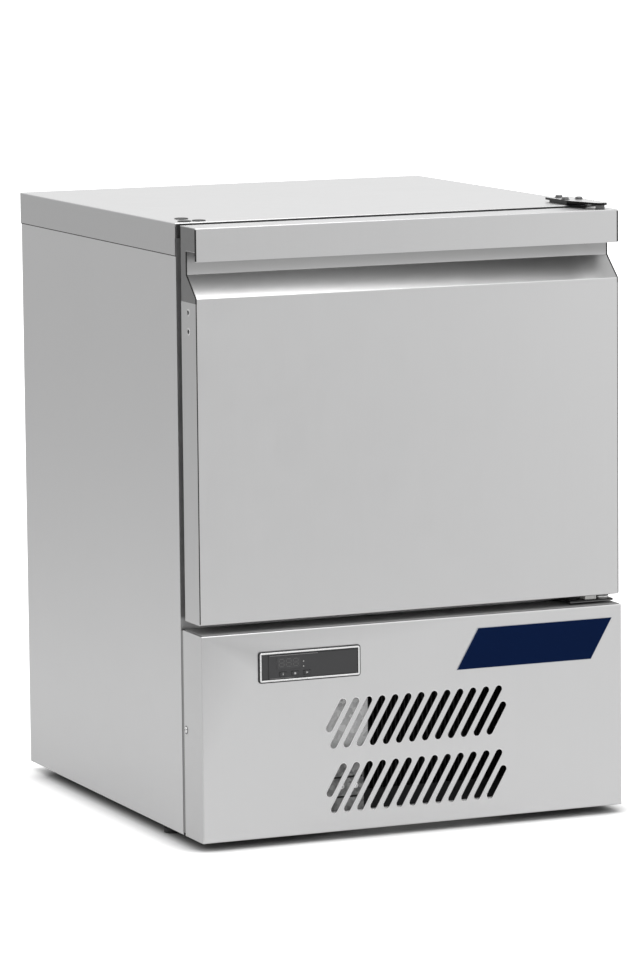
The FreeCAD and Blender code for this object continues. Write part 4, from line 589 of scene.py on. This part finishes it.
def door_shade_lines():
    """Thin dark lines painted in: shade in the gaps where the moulded end caps meet the folded sheet, and a dark
    reflection down the sheet's front fold.
    """
    for label, side in (("left", -1), ("right", 1)):
        x = side * (DOOR_SIDE - 0.3)
        lip = [(x, DOOR_FRONT + 0.4, DOOR_TOP - 2), (x, DOOR_FRONT + 0.4, LIP_LOW + 1)]
        wire("cap_shade_line_lip_" + label, lip, 1.15, DARK_JOINT_AND_SHADE, "door")
        recess = [(x, RECESS_FACE + 0.3, POCKET_TOP - 1), (x, RECESS_FACE + 0.2, RECESS_LOW),
                  (x, DOOR_FRONT + 0.5, SLOPE_LOW + 0.2), (x, DOOR_FRONT + 0.5, SLOPE_LOW - 6.5)]
        wire("cap_shade_line_recess_" + label, recess, 0.95, DARK_JOINT_AND_SHADE, "door", rounding=1.5)
        edge = [(x, DOOR_FRONT + 0.45, SLOPE_LOW - 6.5), (x, DOOR_FRONT + 0.45, 297.0)]
        wire("fold_dark_reflection_" + label, edge, 0.75, DARK_JOINT_AND_SHADE, "door")


def lock_inserts():
    """Threaded inserts pressed into the two holes in the door's side, their bores painted dark as shade."""
    bm = bmesh.new()
    for z in (697.5, 673.0):
        bore = [(2.9, 9.0), (2.9, 0.3)]
        sleeve = [(2.9, 0.3), (3.0, -0.3), (3.9, -0.45), (4.5, -0.2), (4.6, 0.0)]
        for finish, profile in enumerate((sleeve, bore)):
            rings = [[(-DOOR_SIDE + depth, -298.5 + radius * math.cos(2 * math.pi * i / 24),
                       z + radius * math.sin(2 * math.pi * i / 24)) for i in range(24)] for radius, depth in profile]
            add_loops(bm, rings, caps=(finish == 1, False), finish=finish)
    finish_piece("lock_inserts", bm, [CHROME, DARK_JOINT_AND_SHADE], "door")


def door_inner_panel():
    """The liner's stamped panel with its rounded shoulder, inside the seal."""
    bm = bmesh.new()
    path = rounded_loop((-252.0, 252.0), (346.0, 746.0), 14.0)
    steps = ((0.0, -275.0), (-1.2, -273.6), (-3.4, -272.3), (-6.5, -271.9))
    loops = [[(x + nx * out, y, z + nz * out) for x, z, nx, nz in path] for out, y in steps]
    add_loops(bm, loops, caps=(False, True))
    finish_piece("door_inner_panel", bm, STEEL_INSIDE, "door")


# ---------------------------------------------------------------- worktop and hinges


def worktop_shade_lines():
    """Dark lines painted in as shade under the worktop's folded edges, and a dark strip as shade along its nose."""
    for label, side in (("left", -1), ("right", 1)):
        points = [(side * 301.9, -262.0, 767.4), (side * 301.9, 312.2, 767.4)]
        wire("worktop_shade_line_" + label, points, 0.62, DARK_JOINT_AND_SHADE, "cabinet")
    bm = bmesh.new()
    add_block(bm, (-300.5, 300.5), (-265.4, -263.1), (791.0, 808.8), chamfer=0.5)
    finish_piece("worktop_nose_shade", bm, RUBBER, "cabinet")


def hexagon(turn):
    """Radius of a hexagon across the angle, for a flat-to-centre distance of 1."""
    return 1 / math.cos((turn + math.pi / 6) % (math.pi / 3) - math.pi / 6)


def add_socket_screw(bm, centre, radius, height, socket):
    """A button-head screw standing on z, with a hexagon socket."""
    profile = [(radius * 0.96, 0), (radius, 0.3), (radius, height * 0.6), (radius * 0.93, height * 0.85),
               (radius * 0.8, height), (socket * 1.08, height), (socket, height - 0.25), (socket, height * 0.3)]

    def shape(k, turn):
        return hexagon(turn) if k >= 5 else 1.0

    add_turned(bm, profile, centre, sides=36, shape=shape)


PIVOT = (281.5, -311.5, 0)
HINGE_HOLES = ((271.5, -208.0), (262.5, -246.0), (282.5, -246.0))


def top_hinge():
    """Washers and socket screws on the plate, caps in the unused holes, and the collar round the pin."""
    bm = bmesh.new()
    for x, y in HINGE_HOLES:
        add_turned(bm, [(5.6, 816.0), (5.8, 816.1), (5.8, 816.5), (5.5, 816.6)], (x, y, 0))
        add_socket_screw(bm, (x, y, 816.6), 4.7, 2.6, 2.1)
    screws = finish_piece("hinge_socket_screws", bm, BOLT_BLACK, "cabinet")
    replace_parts(screws, "top_hinge_bolts")
    bm = bmesh.new()
    for x, y in HINGE_HOLES:
        add_turned(bm, [(8.4, 810.0), (9.0, 810.2), (9.0, 810.7), (8.6, 811.1), (6.5, 811.45), (3.0, 811.6),
                        (1.0, 811.6)], (-x, y, 0))
    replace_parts(finish_piece("hinge_hole_caps", bm, BLACK_PLASTIC, "cabinet"), "hinge_hole_plugs")
    bm = bmesh.new()
    add_turned(bm, [(5.2, 813.3), (6.0, 812.9), (6.0, 808.4), (6.6, 808.0), (6.6, 807.5)], PIVOT)
    finish_piece("pivot_collar_trim", bm, BOLT_BLACK, "door")


def lower_hinge():
    """Thrust bush: a bright ring between two dark washers."""
    bm = bmesh.new()
    for low, high, radius, finish in ((289.0, 291.0, 10.0, 0), (291.0, 292.4, 9.3, 1), (292.4, 294.7, 9.9, 0)):
        profile = [(4.3, low), (radius - 0.2, low), (radius, low + 0.2), (radius, high - 0.2), (radius - 0.2, high),
                   (4.3, high)]
        add_turned(bm, profile, PIVOT, sides=36, finish=finish)
    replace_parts(finish_piece("thrust_washers", bm, [BOLT_BLACK, CHROME], "cabinet"), "hinge_thrust_bush")


# ---------------------------------------------------------------- service panel

PANEL_FRONT = -332.0
SLOT_LEAN, SLOT_RADIUS, SLOT_PITCH, SLOT_FIRST = math.tan(math.radians(30)), 4.6, 18.7, -101.2
SLOT_RISE, SLOT_SHORT, SLOT_COUNT = 56.0, 34.0, 12
SLOT_ROWS = (40.3, 125.8)


def slot_places():
    """End centres of every cooling slot: twelve full ones and a part slot at each end, in two rows."""
    places = []
    for low in SLOT_ROWS:
        top, middle = low + SLOT_RISE, low + SLOT_RISE / 2
        spans = [(low, top, SLOT_FIRST + SLOT_PITCH * i) for i in range(SLOT_COUNT)]
        spans.append((top - SLOT_SHORT, top, SLOT_FIRST - SLOT_PITCH))
        spans.append((low, low + SLOT_SHORT, SLOT_FIRST + SLOT_PITCH * SLOT_COUNT))
        for bottom, upper, x in spans:
            places.append(tuple((x + (z - middle) * SLOT_LEAN, z) for z in (bottom, upper)))
    return places


def slot_rims():
    """The punched slots' rims, in a lighter steel as a painted highlight."""
    bm = bmesh.new()
    for low, high in slot_places():
        path = stadium_loop(low, high, SLOT_RADIUS)
        profile = [(0.0, PANEL_FRONT + 0.9), (0.0, PANEL_FRONT - 0.05), (0.25, PANEL_FRONT - 0.2),
                   (0.7, PANEL_FRONT - 0.16), (1.0, PANEL_FRONT + 0.05)]
        loops = [[(x + nx * out, y, z + nz * out) for x, z, nx, nz in path] for out, y in profile]
        add_loops(bm, loops)
    finish_piece("slot_rims", bm, RIM_HIGHLIGHT_STEEL, "cabinet")


def cross_recess(k, turn):
    """A cross-shaped driver recess for the last loops of a screw head."""
    return 1.0 if k < 4 else 0.55 + 0.45 * abs(math.cos(2 * turn)) ** 3


def panel_screws():
    bm = bmesh.new()
    for side in (-1, 1):
        for finish, profile in enumerate((
                [(4.3, 0.0), (4.4, 0.2), (3.8, 1.2), (2.7, 1.75), (2.0, 1.85), (1.9, 0.9)],
                [(5.4, 0.0), (5.6, 0.1), (5.5, 0.35), (4.2, 0.4)])):
            profile = [(r, side * h) for r, h in profile]
            add_turned(bm, profile, (side * 301.5, -277.0, 152.0), axis="x", sides=32, finish=finish,
                       shape=cross_recess)
    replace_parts(finish_piece("panel_cross_screws", bm, [CHROME, BOLT_BLACK], "cabinet"), "panel_screws")


def panel_shade_strips():
    """Dark strips round the panel, painted in as shade: beside its flanges and on its top fold."""
    bm = bmesh.new()
    for side in (-1, 1):
        x = sorted((side * 298.2, side * 301.25))
        add_block(bm, x, (-269.8, -262.4), (14.0, 281.0), chamfer=0.5)
    add_block(bm, (-299.0, 299.0), (-330.0, -271.0), (282.05, 283.0), chamfer=0.3)
    finish_piece("panel_painted_shade", bm, SHADE_STRIP_GREY, "cabinet")


def box_plates():
    """Plates of the electrical box behind the slots at the left, and the panel's stiffener."""
    bm = bmesh.new()
    add_block(bm, (-165.0, -60.5), (-314.0, -312.5), (97.0, 206.0), chamfer=0.3)
    add_block(bm, (-165.0, -163.0), (-312.4, -255.0), (97.0, 206.0), chamfer=0.3)
    add_block(bm, (-165.0, -66.0), (-311.0, -309.5), (26.0, 96.0), chamfer=0.3, finish=1)
    for x in (-132.0, -98.0, -78.0):
        head = [(4.0, -311.0), (4.2, -311.4), (3.6, -312.8), (2.2, -313.3), (1.6, -313.3), (1.3, -312.4)]
        add_turned(bm, head, (x, 0, 66.0), axis="y", finish=2)
    for z in (52.0, 78.0):
        add_block(bm, (-164.0, -68.0), (-312.2, -310.9), (z - 1.2, z + 1.2), chamfer=0.3, finish=3)
    finish_piece("box_plates", bm, [GALVANISED, DULL_PLATE, CHROME, DARK_JOINT_AND_SHADE], "cabinet")
    bm = bmesh.new()
    add_block(bm, (-132.0, 136.0), (-330.9, -323.0), (22.0, 36.2), chamfer=0.4)
    finish_piece("panel_stiffener", bm, GALVANISED, "cabinet")


BEZEL_X, BEZEL_Z = (-222.6, -78.6), (215.0, 256.5)
FASCIA_FRONT = -333.6
DIGIT_LEFT, DIGIT_PITCH, DIGIT_LOW, DIGIT_WIDTH, DIGIT_HEIGHT = -194.3, 9.9, 234.6, 8.0, 11.0
KEY_LEFT, KEY_PITCH, KEY_LEVEL = -188.6, 17, 225.5


def controller_frame():
    """Bezel: a dark moulded frame that carries a bright half-round bead."""
    path = rounded_loop(BEZEL_X, BEZEL_Z, 4.0)
    bm = bmesh.new()
    add_frame(bm, path, [(0, -332.0), (0, -333.4), (-0.5, -334.2), (-1.0, -334.4), (-3.9, -334.4), (-4.5, -334.0),
                         (-4.5, -332.0)], finish=0)
    add_frame(bm, path, [(-1.6, -334.3), (-1.7, -334.7), (-2.1, -334.97), (-3.3, -334.97), (-3.8, -334.7),
                         (-3.9, -334.3)], finish=1)
    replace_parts(finish_piece("controller_frame", bm, [FRAME_BLACK, BEAD_BRIGHT], "cabinet", crease=60),
                "controller_bezel")


def add_segments(bm, x, z, width, height):
    """An unlit seven-segment digit: three bars across and four upright, with pointed ends."""
    bar, gap = width * 0.16, width * 0.05

    def across(level):
        left, right = x + bar / 2 + gap, x + width - bar / 2 - gap
        return [(left, level), (left + bar / 2, level + bar / 2), (right - bar / 2, level + bar / 2),
                (right, level), (right - bar / 2, level - bar / 2), (left + bar / 2, level - bar / 2)]

    def upright(column, low):
        bottom, top = low + bar / 2 + gap, low + height / 2 - bar / 2 - gap
        return [(column, bottom), (column + bar / 2, bottom + bar / 2), (column + bar / 2, top - bar / 2),
                (column, top), (column - bar / 2, top - bar / 2), (column - bar / 2, bottom + bar / 2)]

    half = bar / 2
    outlines = [across(z + half), across(z + height / 2), across(z + height - half)]
    for column in (x + half, x + width - half):
        outlines += [upright(column, z + half / 2), upright(column, z + height / 2 - half / 2)]
    for outline in outlines:
        add_prism(bm, outline, (FASCIA_FRONT - 0.46, FASCIA_FRONT - 0.38))


def controller_face():
    """Fascia details: the groove, the insert's edges painted light as highlights, digits, lamps and key marks."""
    bm = bmesh.new()
    add_block(bm, (-209.6, -207.8), (FASCIA_FRONT - 0.12, FASCIA_FRONT + 0.05), (219.8, 251.7), chamfer=0.05)
    add_block(bm, (-207.4, -83.4), (FASCIA_FRONT - 0.12, FASCIA_FRONT + 0.05), (250.6, 251.8), chamfer=0.05)
    finish_piece("fascia_groove", bm, FRAME_BLACK, "cabinet")
    bm = bmesh.new()
    add_block(bm, (-206.8, -139.0), (FASCIA_FRONT - 0.2, FASCIA_FRONT + 0.05), (249.7, 250.3), chamfer=0.06)
    add_block(bm, (-206.8, -172.0), (FASCIA_FRONT - 0.2, FASCIA_FRONT + 0.05), (220.2, 220.6), chamfer=0.06)
    finish_piece("insert_edge_highlight", bm, INSERT_HIGHLIGHT_GREY, "cabinet")
    bm = bmesh.new()
    for i in range(3):
        add_segments(bm, DIGIT_LEFT + DIGIT_PITCH * i, DIGIT_LOW, DIGIT_WIDTH, DIGIT_HEIGHT)
    finish_piece("display_segments", bm, SEGMENT_GREY, "cabinet")
    bm = bmesh.new()
    for z in (234.0, 240.5):
        front = FASCIA_FRONT - 0.4
        add_turned(bm, [(0.98, front), (0.92, front - 0.12), (0.6, front - 0.26), (0.2, front - 0.3)],
                   (-159.6, 0, z), axis="y", sides=20)
    finish_piece("lamp_lenses", bm, LAMP_LENS, "cabinet")
    key_face = FASCIA_FRONT - 0.8
    marks = {
        "key_1": [[(-0.5, -1.5), (0.5, -1.5), (0.5, 0.5), (-0.5, 0.5)],
                  [(-0.5, 1.0), (0.5, 1.0), (0.5, 1.7), (-0.5, 1.7)]],
        "key_2": [[(1.5 * math.cos(math.pi * i / 8), 1.5 * math.sin(math.pi * i / 8)) for i in range(16)]],
        "key_3": [[(-1.2, -1.5), (1.6, 0.0), (-1.2, 1.5)]],
    }
    for i, (body, outlines) in enumerate(marks.items()):
        bm = bmesh.new()
        for outline in outlines:
            add_prism(bm, [(KEY_LEFT + KEY_PITCH * i + x, KEY_LEVEL + z) for x, z in outline],
                      (key_face - 0.08, key_face + 0.02))
        finish_piece(body + "_mark", bm, MARK_PALE, body)


LABEL_LOW, LABEL_TOP, LABEL_RIGHT, LABEL_LENGTH = 211.5, 265.0, 286.5, 195.5


def label_edge():
    """A fine pale border raised round the bare label plate."""
    low, top, front = LABEL_LOW, LABEL_TOP, PANEL_FRONT - 0.6
    shift = (top - low) * SLOT_LEAN
    left = LABEL_RIGHT - LABEL_LENGTH - shift
    corners = [(left, low), (left + LABEL_LENGTH, low), (LABEL_RIGHT, top), (left + shift, top)]
    points = [(x, front + 0.05, z) for x, z in corners]
    wire("label_border", points, 0.35, LABEL_EDGE, "cabinet", closed=True)


# ---------------------------------------------------------------- back and machine bay


def add_cross_screws(bm, places, face, way, finish=0):
    """Pan-head cross screws on a face across y; way is -1 towards the front, 1 towards the back."""
    radius = 3.4
    head = [(radius * 0.97, 0.0), (radius, 0.25), (radius * 0.86, 1.1), (radius * 0.6, 1.55), (1.5, 1.6), (1.3, 0.9)]
    for x, z in places:
        add_turned(bm, [(r, face + way * h) for r, h in head], (x, 0, z), axis="y", sides=28, finish=finish,
                   shape=cross_recess)


BACK_SCREWS_TOP, COWL_FACE = 756.0, 100.0


def back_details():
    """Screws round the back panel, and a bare rating plate."""
    low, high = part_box("back_panel")
    face = high[1] * 1000
    left, right, bottom, top = low[0] * 1000 + 9, high[0] * 1000 - 9, low[2] * 1000 + 12, BACK_SCREWS_TOP
    places = [(x, bottom + (top - bottom) * i / 4) for x in (left, right) for i in range(5)]
    places += [(left + (right - left) * i / 3, top) for i in (1, 2)]
    bm = bmesh.new()
    add_cross_screws(bm, places, face, 1)
    finish_piece("back_screws", bm, CHROME, "cabinet")
    bm = bmesh.new()
    path = rounded_loop((120.0, 210.0), (560.0, 620.0), 3.0)
    steps = ((0.0, face - 0.05), (0.0, face + 0.35), (-0.3, face + 0.5), (-2.0, face + 0.5), (-2.3, face + 0.35))
    loops = [[(x + nx * out, y, z + nz * out) for x, z, nx, nz in path] for out, y in steps]
    add_loops(bm, loops, caps=(False, True))
    for x in (125.0, 205.0):
        add_turned(bm, [(1.6, face + 0.3), (1.6, face + 0.8), (1.0, face + 1.2), (0.3, face + 1.3)], (x, 0, 590.0),
                   axis="y", sides=16)
    finish_piece("rating_plate_bare", bm, ALUMINIUM, "cabinet")


def machine_bay_details():
    """The compressor's weld seam and terminal cover, and the cable that feeds it."""
    bm = bmesh.new()
    seam = [(75.0, 118.0), (77.2, 118.4), (78.6, 119.6), (78.6, 122.4), (77.2, 123.6), (75.0, 124.0)]
    add_turned(bm, seam, (-162.5, 88.0, 0), sides=64, finish=0)
    add_block(bm, (-190.0, -135.0), (-8.0, 18.0), (78.0, 116.0), chamfer=2.5, finish=1)
    add_cross_screws(bm, [(-162.5, 97.0)], -8.0, -1, finish=2)
    finish_piece("compressor_seam_and_cover", bm, [BLACK_COAT, BLACK_PLASTIC, CHROME], "cabinet")
    cable = [(-150.0, -112.5, 150.0), (-150.0, -90.0, 150.0), (-152.0, -70.0, 96.0), (-156.0, -30.0, 70.0),
             (-160.0, -22.0, 86.0), (-160.0, -7.0, 90.0)]
    wire("compressor_cable", cable, 3.2, BLACK_PLASTIC, "cabinet", rounding=16.0)


def chamber_details():
    """Screws that hold the cowl to the chamber's back."""
    low, high = [[v * 1000 for v in corner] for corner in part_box("evaporator_cowl")]
    places = [(x, z) for x in (low[0] + 10, high[0] - 10) for z in (low[2] + 14, (low[2] + high[2]) / 2, high[2] - 14)]
    bm = bmesh.new()
    add_cross_screws(bm, places, COWL_FACE, -1)
    finish_piece("cowl_screws", bm, CHROME, "cabinet")


# ---------------------------------------------------------------- feet


def levelling_feet():
    """Each foot: a ribbed pad, a hexagon and a threaded stud."""
    places = {"front_left": (-288.5, -189.0), "front_right": (288.5, -189.0),
              "rear_left": (-250.5, 240.0), "rear_right": (250.5, 240.0)}
    for label, (x, y) in places.items():
        bm = bmesh.new()
        pad = [(10.2, 0.0), (11.0, 0.7), (11.0, 2.6), (10.4, 3.2), (10.9, 4.0), (10.9, 6.4), (9.6, 7.4), (6.6, 7.9)]

        def ribs(k, turn):
            return 1.0 + 0.012 * math.cos(24 * turn) if 4 <= k <= 5 else 1.0

        add_turned(bm, pad, (x, y, 0), sides=96, shape=ribs)
        add_turned(bm, [(6.6, 7.9), (7.2, 8.2), (7.2, 10.3), (6.6, 10.6)], (x, y, 0), sides=36,
                   shape=lambda k, turn: hexagon(turn))
        thread = [(4.2, 10.6)]
        for i in range(17):
            thread += [(5.0, 11.4 + 1.5 * i), (4.3, 12.1 + 1.5 * i)]
        add_turned(bm, thread, (x, y, 0), sides=20, finish=1)
        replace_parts(finish_piece("foot_" + label + "_turned", bm, [FOOT_BLACK, CHROME], "foot_" + label),
                    "foot_" + label)


door_seal()
door_shade_lines()
lock_inserts()
door_inner_panel()
worktop_shade_lines()
top_hinge()
lower_hinge()
slot_rims()
panel_screws()
panel_shade_strips()
box_plates()
controller_frame()
controller_face()
label_edge()
levelling_feet()
back_details()
machine_bay_details()
chamber_details()

# ---------------------------------------------------------------- studio, in metres and degrees

# The camera's turn, tip and roll, its place, and its focal length in pixels of the frame's height.
CAMERA_ANGLES, CAMERA_PLACE = (-23.30, 7.67, -0.56), (-2.770, -6.455, 1.373)
SENSOR, FOCAL_PIXELS, PHOTO_HEIGHT = 36.0, 5208, 960
# The world: its level as light, and its tones in reflections, with one dark wall.
WORLD_LEVEL = 0.65
WALL_TONE, WALL_SLANT, WALL_MOST = 0.80, (0.30, 0.0, 0.9), 1.15
DARK_WALL, DARK_WALL_EDGES, DARK_WALL_TONE = (-0.906, -0.423, 0.0), (34, 20), 0.30
# The floor: the shut cabinet's footprint as half sizes, the painted shadow's tones by the distance from it, and the
# glow.
FLOOR_REACH, FLOOR_TONE = 30.0, 0.85
FOOTPRINT, FOOTPRINT_MIDDLE = (0.275, 0.265, 0), (0, -0.035, 0)
FLOOR_SHADOW_DARK, FLOOR_SHOWN, SHADE_REACH = 0.42, 1.35, 0.065
FLOOR_FADE, FLOOR_GLOW = (0.03, 0.12), 0.7
MIRROR_SPAN, MIRROR_TONES = (0.9, 2.6), (0.79, 1.15)
MIRROR_REACH, MIRROR_NEAR = (0.5, 4.5), 0.26


def white_for_lens(tree, plain, white, gloss):
    """Mix three shaders: white to the lens and through glass, gloss in reflections, plain to the rest."""
    path = add(tree, "ShaderNodeLightPath")
    seen = math_node(tree, "MAXIMUM", path.outputs["Is Camera Ray"], path.outputs["Is Transmission Ray"])
    reflected = add(tree, "ShaderNodeMixShader")
    tree.links.new(path.outputs["Is Glossy Ray"], reflected.inputs[0])
    tree.links.new(plain.outputs[0], reflected.inputs[1])
    tree.links.new(gloss.outputs[0], reflected.inputs[2])
    mixed = add(tree, "ShaderNodeMixShader")
    tree.links.new(seen, mixed.inputs[0])
    tree.links.new(reflected.outputs[0], mixed.inputs[1])
    tree.links.new(white.outputs[0], mixed.inputs[2])
    return mixed


def studio_world():
    """White to the lens; in reflections lighter to the right and overhead, with a dark wall at the left front."""
    world = bpy.data.worlds.new("studio")
    SCENE.world = world
    world.use_nodes = True
    tree = world.node_tree
    plain = tree.nodes["Background"]
    plain.inputs[0].default_value = (1, 1, 1, 1)
    plain.inputs[1].default_value = WORLD_LEVEL
    white = add(tree, "ShaderNodeBackground", in_0=(1, 1, 1, 1), in_1=1.0)
    gloss = add(tree, "ShaderNodeBackground", in_0=(1, 1, 1, 1))
    where = add(tree, "ShaderNodeTexCoord")
    slant = add(tree, "ShaderNodeVectorMath", operation="DOT_PRODUCT", in_1=WALL_SLANT)
    tree.links.new(where.outputs["Generated"], slant.inputs[0])
    tone = math_node(tree, "MINIMUM", math_node(tree, "ADD", slant.outputs["Value"], WALL_TONE), WALL_MOST)
    facing = add(tree, "ShaderNodeVectorMath", operation="DOT_PRODUCT", in_1=DARK_WALL)
    tree.links.new(where.outputs["Generated"], facing.inputs[0])
    edges = [math.cos(math.radians(angle)) for angle in DARK_WALL_EDGES]
    dark = ramp_between(tree, facing.outputs["Value"], edges, (1.0, DARK_WALL_TONE))
    tone = math_node(tree, "MULTIPLY", tone, dark)
    tree.links.new(tone, gloss.inputs[1])
    tree.links.new(white_for_lens(tree, plain, white, gloss).outputs[0], tree.nodes["World Output"].inputs[0])


def studio_floor():
    """A wide floor. To the lens it carries a painted shadow, dark by a fixed footprint, and a glow turns it white from
    there outwards, so that the object's own shadow shows only near the footprint. In reflections it is greyer at the
    left."""
    mesh = bpy.data.meshes.new("studio_floor")
    reach = FLOOR_REACH
    mesh.from_pydata([(-reach, -reach, 0), (reach, -reach, 0), (reach, reach, 0), (-reach, reach, 0)], [],
                     [(0, 1, 2, 3)])
    floor = bpy.data.objects.new("studio_floor", mesh)
    SCENE.collection.objects.link(floor)
    material, tree, shader = start_material("studio_floor")
    tree.nodes.remove(shader)
    link = tree.links.new
    where = add(tree, "ShaderNodeTexCoord").outputs["Object"]
    apart = add(tree, "ShaderNodeSeparateXYZ")
    link(where, apart.inputs[0])
    steps = (("SUBTRACT", FOOTPRINT_MIDDLE), ("ABSOLUTE", None), ("SUBTRACT", FOOTPRINT), ("MAXIMUM", (0, 0, 0)))
    beside = where
    for operation, value in steps:
        step = add(tree, "ShaderNodeVectorMath", operation=operation)
        link(beside, step.inputs[0])
        if value:
            step.inputs[1].default_value = value
        beside = step.outputs[0]
    distance = add(tree, "ShaderNodeVectorMath", operation="LENGTH")
    link(beside, distance.inputs[0])
    outside = distance.outputs["Value"]
    # Painted shadow: the floor is darker close to the footprint.
    shade = ramp_between(tree, outside, (0.0, SHADE_REACH), (FLOOR_SHADOW_DARK, FLOOR_SHOWN))
    fade = ramp_between(tree, outside, FLOOR_FADE, (0.0, FLOOR_GLOW), smooth=False)
    across = ramp_between(tree, apart.outputs[0], MIRROR_SPAN, MIRROR_TONES, smooth=False)
    near = ramp_between(tree, outside, MIRROR_REACH, (MIRROR_NEAR, 0.0), smooth=False)
    plain = add(tree, "ShaderNodeBsdfDiffuse", in_0=(FLOOR_TONE, FLOOR_TONE, FLOOR_TONE, 1))
    mirrored = add(tree, "ShaderNodeBsdfDiffuse")
    link(math_node(tree, "ADD", across, near), mirrored.inputs[0])
    shown = add(tree, "ShaderNodeBsdfDiffuse")
    link(shade, shown.inputs[0])
    glow = add(tree, "ShaderNodeEmission", in_0=(1, 1, 1, 1))
    link(fade, glow.inputs[1])
    lifted = add(tree, "ShaderNodeAddShader")
    link(shown.outputs[0], lifted.inputs[0])
    link(glow.outputs[0], lifted.inputs[1])
    link(white_for_lens(tree, plain, lifted, mirrored).outputs[0], tree.nodes["Material Output"].inputs[0])
    mesh.materials.append(material)


def soft_lamp(name, place, target, size, watts):
    """A broad rectangular lamp that faces its target."""
    data = bpy.data.lights.new(name, "AREA")
    data.shape = "RECTANGLE"
    data.size, data.size_y = size
    data.energy = watts
    lamp = bpy.data.objects.new(name, data)
    SCENE.collection.objects.link(lamp)
    lamp.location = place
    lamp.rotation_euler = (Vector(target) - Vector(place)).to_track_quat("-Z", "Y").to_euler()


def studio_camera():
    """The photograph's view: turned, tipped and rolled as fitted to the object's corners."""
    turn, tip, roll = [math.radians(angle) for angle in CAMERA_ANGLES]
    ahead = Vector((-math.sin(turn) * math.cos(tip), math.cos(turn) * math.cos(tip), -math.sin(tip)))
    level = Vector((math.cos(turn), math.sin(turn), 0))
    above = level.cross(ahead)
    right = level * math.cos(roll) + above * math.sin(roll)
    up = above * math.cos(roll) - level * math.sin(roll)
    data = bpy.data.cameras.new("camera")
    data.sensor_width = SENSOR
    data.lens = SENSOR * FOCAL_PIXELS / PHOTO_HEIGHT
    data.clip_start, data.clip_end = 0.1, 100.0
    camera = bpy.data.objects.new("camera", data)
    SCENE.collection.objects.link(camera)
    turned = Matrix((right, up, -ahead)).transposed().to_4x4()
    camera.matrix_world = Matrix.Translation(CAMERA_PLACE) @ turned
    SCENE.camera = camera


SCENE.view_settings.view_transform = "Standard"
studio_world()
studio_floor()
soft_lamp("overhead_lamp", (0.10, -0.95, 2.6), (0, -0.2, 0.6), (1.2, 1.6), 18)
soft_lamp("right_lamp", (1.7, -2.3, 0.5), (0.2, -0.3, 0.4), (1.1, 1.5), 1.3)
studio_camera()
